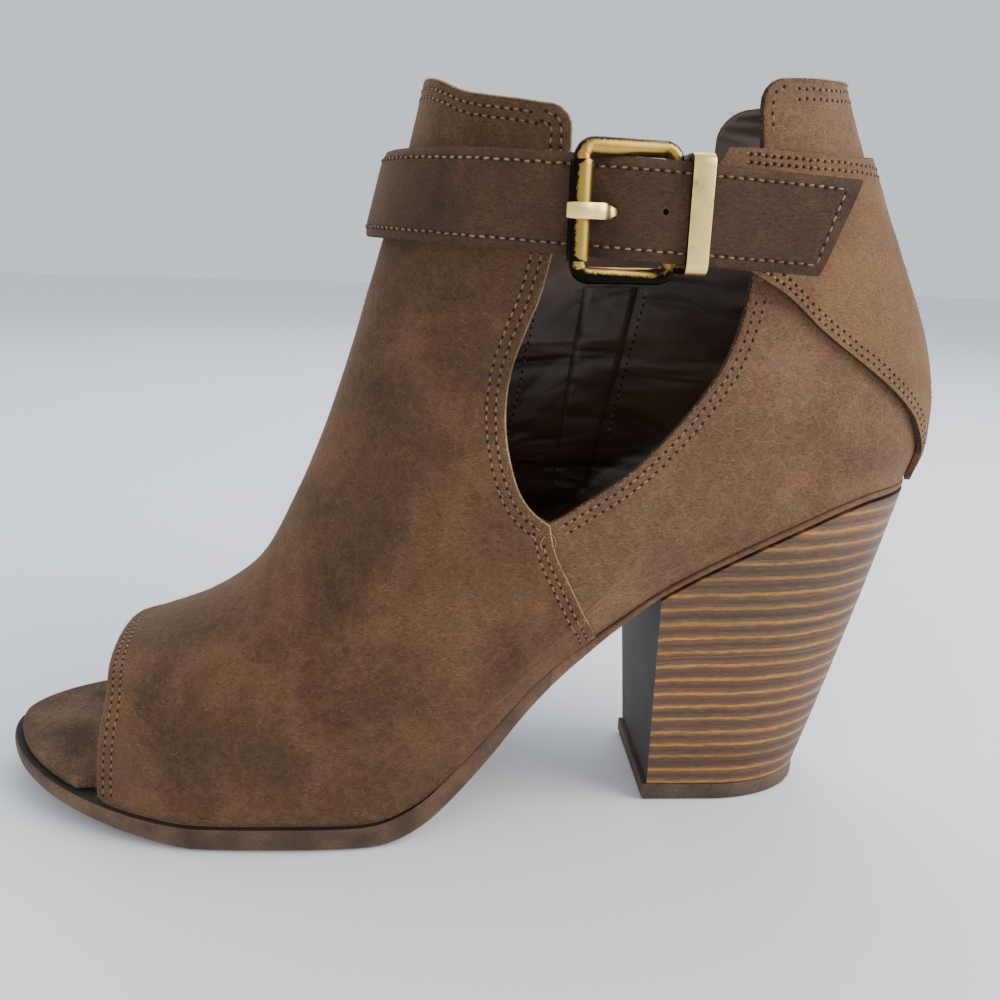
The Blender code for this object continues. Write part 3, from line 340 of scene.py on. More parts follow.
def wornBrass(name, dark, bright, patches, roughness, marked=False):
    # old brass: a black lacquer worn through to yellow metal, with specks and fine scratches; when marked, the mask
    # also holds a painted highlight
    material, tree, shader = newMaterial(name, Metallic=1.0, Roughness=roughness)
    place = placeInMillimetres(tree)
    specks = addNode(tree, "TexNoise", {"Vector": place, "Scale": 2.2, "Detail": 4.0, "Roughness": 0.75})
    if marked:
        wearAndLight = addNode(tree, "Attribute", attribute_name="rubbedAndLit").outputs["Fac"]
    else:
        wearAndLight = addNode(tree, "TexNoise", {"Vector": place, "Scale": 0.3, "Detail": 4.0, "Roughness": 0.65})
    mixed = addNode(tree, "Mix", {0: 0.45, 2: wearAndLight, 3: specks}, data_type="FLOAT")
    colour = addNode(tree, "ValToRGB", {0: mixed}, stops=[(patches - 0.06, dark), (patches + 0.06, bright),
                                                          (patches + 0.26, hexColour(bright, 1.2))])
    finishMaterial(tree, shader, colour, specks, 0.3, 0.15)
    return material


edgeFibre = rawEdge()
lining = liningSatin()
# the back panel's nubuck is lighter still: partly its own tone, partly painted light from the window on the right
panelNubuckWithPaintedLight = nubuck("panelNubuckWithPaintedLight", ("#4b3421", "#644629", "#7e5b3a", "#977551"), 4.0, 0.5)
paleEdge = speckled("paleCutEdge", ("#5d4530", "#8a6a4a", "#b0906a"), 2.2, 0.9, 0.3)
insoleSuede = speckled("brushedInsoleSuede", ("#3a2a1d", "#57412f", "#735842"), 1.4, 0.92, 0.35)
soleRubber = speckled("speckledSoleRubber", ("#382719", "#50392a", "#6e5439"), 3.0, 0.66, 0.12)
heelBreast = speckled("dyedHeelBreast", ("#1c1612", "#2c231c", "#3f342a"), 1.2, 0.62, 0.15)
liftRubber = speckled("liftRubber", ("#352a20", "#4a3b2e", "#655240"), 2.2, 0.62, 0.12)
tanThread = speckled("waxedTanThread", ("#5c4531", "#7f6146", "#a08160"), 3.0, 0.75, 0.1)
needleHole = speckled("needleHoleShadow", ("#17100b", "#21170f", "#2c2016"), 3.0, 0.95, 0.05)
napHair = speckled("nubuckNapHair", ("#6e543b", "#8c6d4e", "#a98a66"), 1.0, 0.85, 0.02)
heelStack = stackedLeather()
soleGlue = speckled("darkGlueLine", ("#140e0a", "#1e1610", "#2c2118"), 1.6, 0.7, 0.1)
# the frame's and roller's brass: its marked mask is rubbed metal plus a painted highlight
agedBrassWithPaintedLight = wornBrass("agedBrassWithPaintedLight", "#15120f", "#a98943", 0.50, 0.32, marked=True)
brightBrass = wornBrass("scratchedBrass", "#5c4824", "#f0d482", 0.36, 0.34)
brassSide = wornBrass("brassCutSide", "#15110c", "#4a3a20", 0.50, 0.42)
print("materials made")


# ---- the last, as in the solids

last = {
    "length": 233 * mm, "ball": 80 * mm, "seat": 54.6 * mm, "toeSwing": 6 * mm, "seatHeight": 86.8 * mm,
    "toeSpring": 5 * mm, "shaft": 68 * mm, "frontHeight": 176 * mm, "backHeight": 178.5 * mm,
    "sideDrop": 6.8 * mm, "heelBackX": 42 * mm, "toeX": -191 * mm, "sole": 6.2 * mm, "gap": 0.3 * mm,
}

# place, lateral, medial: shares of the length and of half the ball width
soleOutline = (
    (0.000, 1.030, 0.925), (0.215, 1.045, 0.935), (0.283, 1.058, 0.935), (0.356, 1.052, 0.905),
    (0.408, 1.030, 0.838), (0.464, 0.968, 0.738), (0.515, 0.898, 0.650), (0.571, 0.830, 0.595),
    (0.614, 0.783, 0.583), (0.670, 0.740, 0.600), (0.721, 0.722, 0.630), (0.807, 0.708, 0.657),
    (1.000, 0.690, 0.650),
)

# place, rise of the seat's climb, toe spring, thickness
soleLine = (
    (0.000, 0.000, 1.00, 0.86), (0.060, 0.000, 0.70, 0.84), (0.129, 0.000, 0.40, 0.87),
    (0.190, 0.000, 0.15, 0.94), (0.240, 0.000, 0.00, 1.00), (0.405, 0.000, 0.00, 1.00),
    (0.430, 0.006, 0.00, 1.06), (0.450, 0.024, 0.00, 1.14), (0.475, 0.064, 0.00, 1.20),
    (0.506, 0.145, 0.00, 1.25), (0.543, 0.262, 0.00, 1.22), (0.579, 0.383, 0.00, 1.05),
    (0.615, 0.481, 0.00, 0.84), (0.645, 0.543, 0.00, 0.60), (0.672, 0.600, 0.00, 0.42),
    (0.717, 0.695, 0.00, 0.30), (0.803, 0.834, 0.00, 0.30), (0.850, 0.900, 0.00, 0.30),
    (0.901, 0.960, 0.00, 0.30), (0.940, 0.988, 0.00, 0.30), (1.000, 1.000, 0.00, 0.30),
)

# level, front x, front z, front y, back x, back z, half lateral, half medial, widest, front round,
# back round, own outline, sag
rings = (
    (0, 0.000, 0.000, 1.00, 1.003, 0.000, 1.190, 1.170, 0.40, 1.75, 2.1, 0.00, 1.00),
    (1, 0.030, 0.104, 0.95, 1.010, 0.040, 1.200, 1.180, 0.40, 2.30, 2.1, 0.42, 0.93),
    (2, 0.090, 0.158, 0.85, 1.015, 0.083, 1.185, 1.170, 0.40, 2.30, 2.1, 0.50, 0.84),
    (3, 0.129, 0.175, 0.80, 1.017, 0.132, 1.165, 1.150, 0.40, 2.20, 2.1, 0.62, 0.74),
    (4, 0.209, 0.219, 0.60, 1.017, 0.191, 1.130, 1.110, 0.41, 2.10, 2.1, 0.78, 0.62),
    (5, 0.285, 0.296, 0.42, 1.013, 0.266, 1.090, 1.070, 0.42, 2.05, 2.1, 0.93, 0.48),
    (6, 0.327, 0.398, 0.28, 1.004, 0.353, 1.060, 1.040, 0.43, 2.00, 2.1, 0.98, 0.33),
    (7, 0.362, 0.510, 0.16, 0.989, 0.450, 1.030, 1.010, 0.44, 2.00, 2.1, 1.00, 0.18),
    (8, 0.394, 0.639, 0.06, 0.967, 0.568, 1.000, 0.980, 0.45, 2.05, 2.1, 1.00, 0.07),
    (9, 0.420, 0.759, 0.00, 0.942, 0.698, 0.990, 0.970, 0.46, 2.10, 2.15, 1.00, 0.02),
    (10, 0.445, 0.871, 0.00, 0.914, 0.838, 1.000, 0.980, 0.46, 2.15, 2.2, 1.00, 0.00),
    (11, 0.468, 1.000, 0.00, 0.884, 1.000, 1.015, 0.995, 0.46, 2.20, 2.25, 1.00, 0.00),
)
topLevel, bottomLevel = 11.6, -0.3


def tableValue(rows, column, place):
    # smooth between the rows, straight past the ends, never overshooting a row
    rows = np.asarray(rows, float)
    x, y = rows[:, 0], rows[:, column]
    step = np.diff(x)
    slope = np.diff(y) / step
    knot = np.zeros(len(x))
    knot[0], knot[-1] = slope[0], slope[-1]
    product = slope[:-1] * slope[1:]
    total = np.where(product > 0, slope[:-1] + slope[1:], 1.0)
    knot[1:-1] = np.where(product > 0, 2 * product / total, 0.0)
    place = np.asarray(place, float)
    i = np.clip(np.searchsorted(x, place, side="right") - 1, 0, len(x) - 2)
    t = (place - x[i]) / step[i]
    inside = ((2 * t**3 - 3 * t**2 + 1) * y[i] + (t**3 - 2 * t**2 + t) * step[i] * knot[i]
              + (3 * t**2 - 2 * t**3) * y[i + 1] + (t**3 - t**2) * step[i] * knot[i + 1])
    past = np.where(place < x[0], y[0] + slope[0] * (place - x[0]), y[-1] + slope[-1] * (place - x[-1]))
    return np.where((place < x[0]) | (place > x[-1]), past, inside)


ringSteps = 200
ringTable = np.stack([tableValue(rings, k, np.arange(-1, 13, 1 / ringSteps)) for k in range(1, 13)], -1)
soleShares = np.linspace(0, 1, 801)
soleTables = [tableValue(soleOutline, k, soleShares) for k in (1, 2)]
soleTables += [tableValue(soleLine, k, soleShares) for k in (1, 2, 3)]


def soleValue(k, share):
    return np.interp(share, soleShares, soleTables[k])


def roundEnd(share, power):
    share = np.clip(share, 0, 1)
    return (1 - (1 - share) ** power) ** (1 / power)


def placeX(share):
    return last["toeX"] + last["length"] * share


def placeShare(x):
    return (x - last["toeX"]) / last["length"]


def soleHalf(share, side):
    wide = np.where(side < 0, soleValue(0, share), soleValue(1, share))
    wide = wide * last["ball"] / 2
    blend = np.clip((share - 0.5) / 0.3, 0, 1)
    wide = wide * (1 + (last["seat"] / last["ball"] / 0.6825 - 1) * blend)
    return wide * roundEnd(share / 0.25, 1.72) * roundEnd((1 - share) / 0.19, 2.15)


def soleTop(share):
    rise = soleValue(2, share) * (last["seatHeight"] - last["sole"])
    return last["sole"] + rise + soleValue(3, share) * last["toeSpring"]


def soleBottom(share):
    return soleTop(share) - soleValue(4, share) * last["sole"]


def ringBase(level, turn):
    level, turn = np.broadcast_arrays(np.asarray(level, float), np.asarray(turn, float))
    at = (level + 1) * ringSteps
    row = np.clip(at.astype(int), 0, len(ringTable) - 2)
    part = (at - row)[..., None]
    values = ringTable[row] * (1 - part) + ringTable[row + 1] * part
    (frontX, frontZ, frontY, backX, backZ, halfL, halfM, widest, frontRound, backRound, own,
     sag) = np.moveaxis(values, -1, 0)
    angle = 2 * np.pi * turn
    share = (1 - np.cos(angle)) / 2
    side = np.where(np.sin(angle) > 0, -1.0, 1.0)
    low, high = soleTop(0.0), soleTop(1.0)
    x = placeX(frontX) * (1 - share) + placeX(backX) * share
    y = last["toeSwing"] * frontY * (1 - share)
    z = ((low + (last["frontHeight"] - low) * frontZ) * (1 - share)
         + (high + (last["backHeight"] - high) * backZ) * share)
    z = z + (soleTop(share) - low - (high - low) * share) * sag
    half = np.where(share < widest, roundEnd(share / widest, frontRound),
                    roundEnd((1 - share) / (1 - widest), backRound))
    half = half * np.where(side < 0, halfL, halfM) * last["shaft"] / 2
    half = half * own + soleHalf(share, side) * (1 - own)
    return np.stack([x, y + side * half, z], axis=-1)


def ringNormal(level, turn):
    along = ringBase(level, turn + 0.004) - ringBase(level, turn - 0.004)
    upward = ringBase(level + 0.05, turn) - ringBase(level - 0.05, turn)
    normal = np.cross(along, upward)
    return normal / np.linalg.norm(normal, axis=-1, keepdims=True)


buckle = {
    "x": -41 * mm, "length": 22.6 * mm, "height": 27.4 * mm, "wire": 3.3 * mm, "corner": 2.4 * mm,
    "standOff": 43.2 * mm, "lean": 5.5 * mm, "drop": 0.7 * mm, "rollerWall": 0.55 * mm,
    "prong": 1.7 * mm, "prongRing": 1.0 * mm, "keeperWidth": 4.4 * mm, "keeperBar": 1.3 * mm,
    "strapWidth": 18.7 * mm, "strapThickness": 2.0 * mm, "flare": 6.5 * mm,
}
wireRadius = buckle["wire"] / 2
hingeX = buckle["x"] + buckle["length"] / 2 - wireRadius
rollerX = buckle["x"] - buckle["length"] / 2 + wireRadius
hingeY = -buckle["standOff"] + buckle["lean"] / 2
rollerY = -buckle["standOff"] - buckle["lean"] / 2
loopRadius = wireRadius + last["gap"] + 0.91 * mm
flareX = last["heelBackX"] - 83 * mm * 0.463

# soft troughs and ridges of the worn nubuck: start and end in x and z, half width, depth
# (below 0 stands proud), side (-1 buckle side, 1 inner side, 0 both)
creases = (
    ((-100, 70), (-70, 62), 4.5, 0.55, 0), ((-112, 58), (-86, 47), 5.0, 0.45, 0),
    ((-93, 82), (-66, 80), 4.0, -0.35, 0), ((-122, 40), (-96, 32), 6.0, 0.40, -1),
    ((-140, 33), (-118, 20), 5.0, 0.35, -1), ((-96, 118), (-72, 124), 3.5, 0.30, -1),
    ((-90, 134), (-66, 132), 3.0, 0.35, 0), ((-84, 50), (-62, 44), 5.0, 0.30, -1),
    ((-60, 70), (-58, 55), 4.0, -0.25, -1), ((-20, 100), (8, 92), 5.0, 0.30, -1),
    ((2, 118), (26, 104), 5.0, 0.25, -1), ((30, 150), (44, 128), 5.0, 0.30, 0),
    ((20, 172), (26, 150), 4.0, 0.25, 0), ((-70, 96), (-66, 66), 6.0, 0.35, 1),
    ((-40, 110), (-10, 100), 6.0, 0.30, 1), ((-150, 28), (-132, 38), 5.0, -0.30, 0),
)


def relief(points):
    # how far the creases move a point in or out, fading at their ends
    moved = np.zeros(points.shape[:-1])
    for start, end, width, depth, side in creases:
        a, b = np.array(start) * mm, np.array(end) * mm
        here = points[..., [0, 2]] - a
        along = here @ (b - a) / np.dot(b - a, b - a)
        off = here - np.clip(along, 0, 1)[..., None] * (b - a)
        far = np.linalg.norm(off, axis=-1) / (width * mm)
        near = np.exp(-far**2)
        if side:
            near = near * np.clip(points[..., 1] * side / (8 * mm), 0, 1)
        moved -= depth * mm * near
    return moved


def lastPoint(level, turn, offset=0.0, flare=0.0, creased=True):
    point = ringBase(level, turn)
    moved = offset + (relief(point) if creased else 0.0)
    point = point + ringNormal(level, turn) * np.asarray(moved)[..., None]
    lateral = np.broadcast_to(np.sin(2 * np.pi * np.asarray(turn, float)), point.shape[:-1])
    if flare:
        reach = np.clip((flareX - point[..., 0]) / (flareX - hingeX), 0, 1)
        point[..., 1] -= np.where(lateral > 0, flare * lateral * reach**2 * (3 - 2 * reach), 0)
    return point


def levelWhere(turn, test, offset=0.0, flare=0.0):
    # the level where test(point), which grows upwards, passes zero
    turn = np.asarray(turn, float)
    low, high = np.full(turn.shape, bottomLevel), np.full(turn.shape, topLevel)
    for _ in range(18):
        level = (low + high) / 2
        above = test(lastPoint(level, turn, offset, flare)) > 0
        low, high = np.where(above, low, level), np.where(above, level, high)
    return (low + high) / 2


def strapMiddle(x):
    frontX = placeX(0.415)
    return last["frontHeight"] - 24.6 * mm - 5.5 * mm * (x - frontX) / (placeX(0.845) - frontX)


# ---- upper: sheets on the last, cut to their edges

upper = {
    "around": 212, "rings": 150, "wall": 1.6 * mm, "vampStep": 0.9 * mm,
    "cutoutX": -53 * mm, "cutoutZ": 81 * mm, "cutoutWidth": 52.6 * mm, "cutoutDepth": 95 * mm,
    "notchDepth": 24 * mm, "notchReach": 6.5 * mm, "tabCorner": 4.8 * mm, "innerCorner": 8 * mm,
    "toeDepth": 31 * mm, "toeSlant": 3 * mm, "toeHeight": 40 * mm,
    "frontEdge": ((0.000, 0.000), (-0.070, 0.030), (-0.131, 0.081), (-0.178, 0.173), (-0.192, 0.262),
                  (-0.175, 0.352), (-0.124, 0.440), (-0.067, 0.523), (-0.028, 0.616), (0.006, 0.728),
                  (0.030, 0.834)),
    "rearEdge": ((0.030, 0.004), (0.175, 0.057), (0.344, 0.124), (0.490, 0.205), (0.612, 0.288),
                 (0.715, 0.376), (0.774, 0.462), (0.802, 0.540), (0.808, 0.640), (0.800, 0.850),
                 (0.785, 0.925)),
    "toeEdge": ((1.130, -0.10), (1.040, 0.05), (1.000, 0.17), (0.985, 0.30), (1.000, 0.48),
                (1.030, 0.66), (1.050, 0.82), (0.985, 1.00), (0.940, 1.20)),
    "vampSeam": ((0.500, 0.120), (0.400, 0.200), (0.262, 0.287), (0.112, 0.376), (0.020, 0.440),
                 (-0.010, 0.540), (0.010, 0.640), (0.070, 0.740), (0.140, 0.860), (0.170, 1.100)),
    "notchBowl": ((0.00, 0.45), (0.03, 0.22), (0.12, 0.06), (0.26, 0.00), (0.50, -0.02), (0.74, 0.00),
                  (0.88, 0.06), (0.97, 0.22), (1.00, 0.45)),
    "collar": ((-0.12, -0.26), (0.00, 0.00), (0.10, 0.74), (0.20, 1.02), (0.295, 1.22), (0.56, 0.81),
               (0.78, 0.34), (0.92, 0.20), (1.00, 0.00), (1.12, -0.18)),
}
quarter = -upper["vampStep"]
liningOffset = quarter - upper["wall"]
panelInner = quarter + last["gap"]
panelOuter = panelInner + 1.4 * mm
wide = last["ball"]
roof = last["backHeight"] * 1.3


def collarHeight(x):
    front, back = placeX(0.468), placeX(0.890)
    along = (x - front) / (back - front)
    dip = tableValue(upper["collar"], 1, along)
    return last["frontHeight"] + (last["backHeight"] - last["frontHeight"]) * along - last["sideDrop"] * dip


def cutoutPoint(row):
    return (upper["cutoutX"] + upper["cutoutWidth"] * row[0], upper["cutoutZ"] + upper["cutoutDepth"] * row[1])


def tabCorners(reachBack=0.0, backCorner=upper["tabCorner"]):
    corner = upper["tabCorner"]
    frontX = cutoutPoint(upper["frontEdge"][-1])[0]
    backX = cutoutPoint(upper["rearEdge"][-1])[0] + reachBack
    frontTop, backTop = float(collarHeight(frontX - corner)), float(collarHeight(backX + backCorner))
    front, back = [], []
    for i in range(1, 9):
        angle = math.radians(90 * i / 8)
        reach, drop = 1 - math.cos(angle), 1 - math.sin(angle)
        front.append((frontX - corner * reach, frontTop - corner * drop))
        back.append((backX + backCorner * reach, backTop - backCorner * drop))
    return front + [(front[-1][0], roof)], back + [(back[-1][0], roof)]


def flatCurve(points, steps):
    return [tuple(float(v) for v in p) for p in curveThrough(points, steps)]


def cutLines():
    # the edges of the openings and the seam, all seen from the side
    ahead = last["toeX"] - 24 * mm
    toe = flatCurve([(last["toeX"] + upper["toeDepth"] * back, upper["toeHeight"] * up)
                     for back, up in upper["toeEdge"]], 6)
    front = flatCurve([cutoutPoint(row) for row in upper["frontEdge"]], 5)
    rear = flatCurve([cutoutPoint(row) for row in upper["rearEdge"]], 5)
    frontTab, backTab = tabCorners()
    innerFront, innerBack = tabCorners(upper["notchReach"], upper["innerCorner"])
    low = last["frontHeight"] - upper["notchDepth"]
    frontX = cutoutPoint(upper["frontEdge"][-1])[0]
    backX = cutoutPoint(upper["rearEdge"][-1])[0] + upper["notchReach"]
    bowl = flatCurve([(frontX + (backX - frontX) * a, low + upper["notchDepth"] * u)
                      for a, u in upper["notchBowl"]], 4)
    seam = [(upper["cutoutX"] + upper["cutoutWidth"] * a, last["frontHeight"] * u)
            for a, u in upper["vampSeam"]]
    seam = flatCurve([(seam[0][0] + 12 * mm, -12 * mm)] + seam, 6) + [(seam[-1][0], roof)]
    return {
        "toeEdge": toe, "front": front, "rear": rear, "frontTab": frontTab, "backTab": backTab, "seam": seam,
        "toe": [(ahead, toe[0][1])] + toe + [(ahead, toe[-1][1])],
        "side": front + frontTab + list(reversed(rear + backTab)),
        "notch": list(reversed(innerFront)) + bowl + innerBack,
        "vamp": seam + [(ahead, roof), (ahead, seam[0][1])],
    }


lines = cutLines()


def insideBy(points, outline, slant=0.0):
    # how far a point lies inside an outline seen from the side; below 0 outside it
    x, z = points[..., 0] + slant * points[..., 1], points[..., 2]
    best, inside = np.full(x.shape, 1.0), np.zeros(x.shape, bool)
    for (ax, az), (bx, bz) in zip(outline, outline[1:] + outline[:1]):
        ex, ez = bx - ax, bz - az
        if ex == 0 and ez == 0:
            continue
        t = np.clip(((x - ax) * ex + (z - az) * ez) / (ex * ex + ez * ez), 0, 1)
        best = np.minimum(best, (x - ax - t * ex)**2 + (z - az - t * ez)**2)
        crossing = ax + (z - az) * ex / (ez if ez else 1.0)
        inside ^= ((az > z) != (bz > z)) & (x < crossing)
    return np.where(inside, 1, -1) * np.sqrt(best)


def upperKeep(points, turn):
    outer = np.sin(2 * np.pi * turn) > 0
    share = np.clip(placeShare(points[..., 0]), 0, 1)
    keep = np.minimum(points[..., 2] - soleTop(share) - last["gap"],
                      collarHeight(points[..., 0]) - points[..., 2])
    keep = np.minimum(keep, -insideBy(points, lines["toe"], upper["toeSlant"] / wide))
    opening = np.where(outer, insideBy(points, lines["side"]), insideBy(points, lines["notch"]))
    return np.minimum(keep, -opening)


def vampKeep(points, turn):
    return np.minimum(upperKeep(points, turn), insideBy(points, lines["vamp"]))


def sheetOnLast(name, keep, outerAt, innerAt, materials, rim=0.25 * mm):
    # a wall between two offsets of the last, kept where keep is above 0, with a rounded rim
    rows, around = upper["rings"], upper["around"]
    level = np.repeat(np.linspace(bottomLevel, topLevel, rows)[:, None], around, 1)
    turn = np.repeat(np.arange(around)[None] / around, rows, 0)
    value = keep(lastPoint(level, turn, outerAt), turn)
    nodes = np.arange(rows * around).reshape(rows, around)
    level, turn, value = level.ravel(), turn.ravel(), value.ravel()
    upwards = np.stack([nodes[:-1].ravel(), nodes[1:].ravel()], 1)
    onwards = np.stack([nodes.ravel(), np.roll(nodes, -1, 1).ravel()], 1)
    near = {}
    for a, b in np.concatenate([upwards, onwards]):
        if value[a] * value[b] < 0:
            t = value[a] / (value[a] - value[b])
            for node, other, part in ((a, b, t), (b, a, 1 - t)):
                if part < 0.3 and part < near.get(node, (1, 0))[0]:
                    near[node] = (part, other)
    level2, turn2 = level.copy(), turn.copy()
    for node, (part, other) in near.items():
        # a grid point close to the edge moves onto it, so that no face is a sliver
        around1 = (turn[other] - turn[node] + 0.5) % 1 - 0.5
        level2[node] = level[node] + part * (level[other] - level[node])
        turn2[node] = turn[node] + part * around1
        value[node] = 0.0
    levels, turns, crossings, faces = list(level2), list(turn2), {}, []

    def crossing(a, b):
        key = (min(a, b), max(a, b))
        if key not in crossings:
            t = value[a] / (value[a] - value[b])
            crossings[key] = len(levels)
            levels.append(level2[a] + t * (level2[b] - level2[a]))
            turns.append(turn2[a] + t * ((turn2[b] - turn2[a] + 0.5) % 1 - 0.5))
        return crossings[key]

    for r in range(rows - 1):
        for i in range(around):
            j = (i + 1) % around
            corners = (nodes[r, i], nodes[r, j], nodes[r + 1, j], nodes[r + 1, i])
            values = [value[c] for c in corners]
            if max(values) <= 0:
                continue
            if min(values) >= 0:
                faces.append(tuple(corners))
                continue
            face = []
            for k in range(4):
                a, b = corners[k], corners[(k + 1) % 4]
                if value[a] >= 0:
                    face.append(a)
                if value[a] * value[b] < 0:
                    face.append(crossing(a, b))
            if len(face) > 2:
                faces.append(tuple(face))
    used = sorted({v for face in faces for v in face})
    index = {v: k for k, v in enumerate(used)}
    faces = [tuple(index[v] for v in face) for face in faces]
    level, turn = np.array(levels)[used], np.array(turns)[used]
    outer, inner = lastPoint(level, turn, outerAt), lastPoint(level, turn, innerAt)
    count = len(used)
    edges = {(face[k], face[(k + 1) % len(face)]) for face in faces for k in range(len(face))}
    border = [edge for edge in edges if (edge[1], edge[0]) not in edges]
    border.sort()
    normal = ringNormal(level, turn)
    outward = np.zeros((count, 3))
    for a, b in border:
        sideways = np.cross(outer[b] - outer[a], normal[a])
        outward[[a, b]] += sideways / (np.linalg.norm(sideways) + 1e-9)
    rimNodes = sorted({v for edge in border for v in edge})
    rimIndex = {v: k for k, v in enumerate(rimNodes)}
    away = outward[rimNodes]
    away /= np.linalg.norm(away, axis=1, keepdims=True) + 1e-9
    rims, starts = [], []
    for part, bulge in ((0.12, 0.6), (0.5, 1.0), (0.88, 0.6)):
        starts.append(2 * count + len(rims) * len(rimNodes))
        rims.append(outer[rimNodes] * (1 - part) + inner[rimNodes] * part + away * rim * bulge)
    points = np.concatenate([outer, inner] + rims)
    allFaces = faces + [tuple(count + v for v in reversed(face)) for face in faces]
    kinds = [0] * len(faces) + [1] * len(faces)
    for a, b in border:
        up = [a] + [start + rimIndex[a] for start in starts] + [count + a]
        down = [b] + [start + rimIndex[b] for start in starts] + [count + b]
        for k in range(4):
            allFaces.append((down[k], up[k], up[k + 1], down[k + 1]))
            kinds.append(2)
    made = makeObject(name, points, allFaces)
    for material in materials:
        made.data.materials.append(material)
    made.data.polygons.foreach_set("material_index", np.array(kinds, dtype=np.int32))
    smoothBy(made, 72)
    dress(made, "upper_suede", "upper")
    return made


quarterShell = sheetOnLast("quarterShell", upperKeep, quarter, liningOffset,
                           (quarterNubuckWithPaintedLight, lining, edgeFibre))
vampShell = sheetOnLast("vampShell", vampKeep, 0.0, quarter + 0.08 * mm,
                        (upperNubuck, edgeFibre, paleEdge), 0.32 * mm)
print("upper made:", len(quarterShell.data.polygons) + len(vampShell.data.polygons), "faces")


# ---- back panel with the chape that holds the buckle

panel = {
    "rows": 26, "turnedUnder": 94 * mm,   # below this height its raw edge is turned under
    # share of the way from the buckle's hinge to the middle of the back, low and high of the height
    "shape": ((0.135, 0.705, 0.985), (0.200, 0.662, 0.990), (0.268, 0.617, 0.990), (0.314, 0.574, 0.990),
              (0.368, 0.509, 0.990), (0.450, 0.432, 0.990), (0.571, 0.330, 0.988), (0.686, 0.233, 0.996),
              (0.775, 0.145, 1.002), (0.825, 0.075, 1.006), (0.850, 0.020, 1.008), (0.870, -0.030, 1.010),
              (1.000, -0.030, 1.020)),
}


def panelHeight(up):
    return last["seatHeight"] + (last["backHeight"] - 16.5 * mm - last["seatHeight"]) * up


def hingeTurn():
    # where the form passes the buckle's hinge, at the strap's height
    turns = np.linspace(0.10, 0.45, 400)
    level = levelWhere(turns, lambda p: p[..., 2] - strapMiddle(p[..., 0]))
    return float(np.interp(hingeX, lastPoint(level, turns)[:, 0], turns))


hinge = hingeTurn()


def panelTurn(around, flip=False):
    turn = hinge + (0.5 - hinge) * np.asarray(around)
    return 1 - turn if flip else turn


def panelEdge(up, inset=0.0, low=True):
    # the test for the panel's lower or upper edge at a share of its height
    def test(p):
        edge = panelHeight(np.asarray(up))
        if low:
            edge = np.maximum(edge, soleTop(np.minimum(placeShare(p[..., 0]), 1)) + last["gap"])
        return p[..., 2] - edge - inset
    return test


def panelColumns(offset):
    # turn, low level and high level of each column, from the buckle round to the inner side
    half = buckle["strapWidth"] / 2
    chape = np.array([0.0, 0.02, 0.04, 0.06, 0.08, 0.10])
    rest = np.array(curveThrough(panel["shape"], 6))
    around = np.concatenate([chape, rest[:, 0]])
    levels = []
    for k, side in ((1, -1), (2, 1)):
        near = levelWhere(panelTurn(chape), lambda p: p[..., 2] - strapMiddle(p[..., 0]) - side * half, offset)
        far = levelWhere(panelTurn(rest[:, 0]), panelEdge(rest[:, k], low=k == 1), offset)
        levels.append(np.concatenate([near, far]))
    low, high = levels
    turns = np.concatenate([panelTurn(around), panelTurn(around[-2::-1], True)])
    return turns, np.concatenate([low, low[-2::-1]]), np.concatenate([high, high[-2::-1]])


def makePanel():
    count = panel["rows"] + 1
    points = []
    for offset in (panelOuter, panelInner):
        turns, low, high = panelColumns(offset)
        level = low[:, None] + (high - low)[:, None] * np.linspace(0, 1, count)
        points.append(lastPoint(level, turns[:, None], offset, buckle["flare"]).reshape(-1, 3))
    inner = len(turns) * count
    faces, edges = [], []
    for c in range(len(turns) - 1):
        for r in range(count - 1):
            a, b = c * count + r, (c + 1) * count + r
            faces.append((a, b, b + 1, a + 1))
            faces.append((inner + a, inner + a + 1, inner + b + 1, inner + b))
        for a in (c * count, c * count + count - 1):
            edges.append((a, a + count, inner + a + count, inner + a))
    for start in (0, (len(turns) - 1) * count):
        for a in range(start, start + count - 1):
            edges.append((a, a + 1, inner + a + 1, inner + a))
    made = makeObject("backPanel", np.concatenate(points), faces + edges, panelNubuckWithPaintedLight)
    made.data.materials.append(edgeFibre)
    # the rim above turnedUnder is dark edge fibre: a raw edge, and also a painted shadow line along the panel's
    # edge
    for face in made.data.polygons[len(faces):]:
        face.material_index = 1 if face.center.z > panel["turnedUnder"] else 0
    faceOutwards(made)
    half = buckle["strapWidth"] / 2 - last["gap"]
    middle = float(strapMiddle(hingeX))
    for radius, reach, operation, material in ((loopRadius, half, "UNION", panelNubuckWithPaintedLight),
                                               (wireRadius + last["gap"], 15 * mm, "DIFFERENCE", edgeFibre)):
        boreWith(made, material, operation, vertices=40, radius=radius, depth=2 * reach,
                 location=(hingeX, hingeY, middle))
    slot = buckle["prong"] / 2 + 2 * last["gap"]
    bpy.ops.mesh.primitive_cube_add(size=1, location=(hingeX - loopRadius, -wide / 2 - 10 * mm,
                                                      middle - buckle["drop"]))
    slotTool = bpy.context.object
    slotTool.scale = (4 * loopRadius, wide, 2 * slot)
    slotTool.data.materials.append(edgeFibre)
    placeInMesh(slotTool)
    cutWith(made, slotTool)
    smoothBy(made, 40)
    dress(made, "upper_suede", "back_panel")
    return made


backPanel = makePanel()
print("back panel made")


# ---- ankle strap

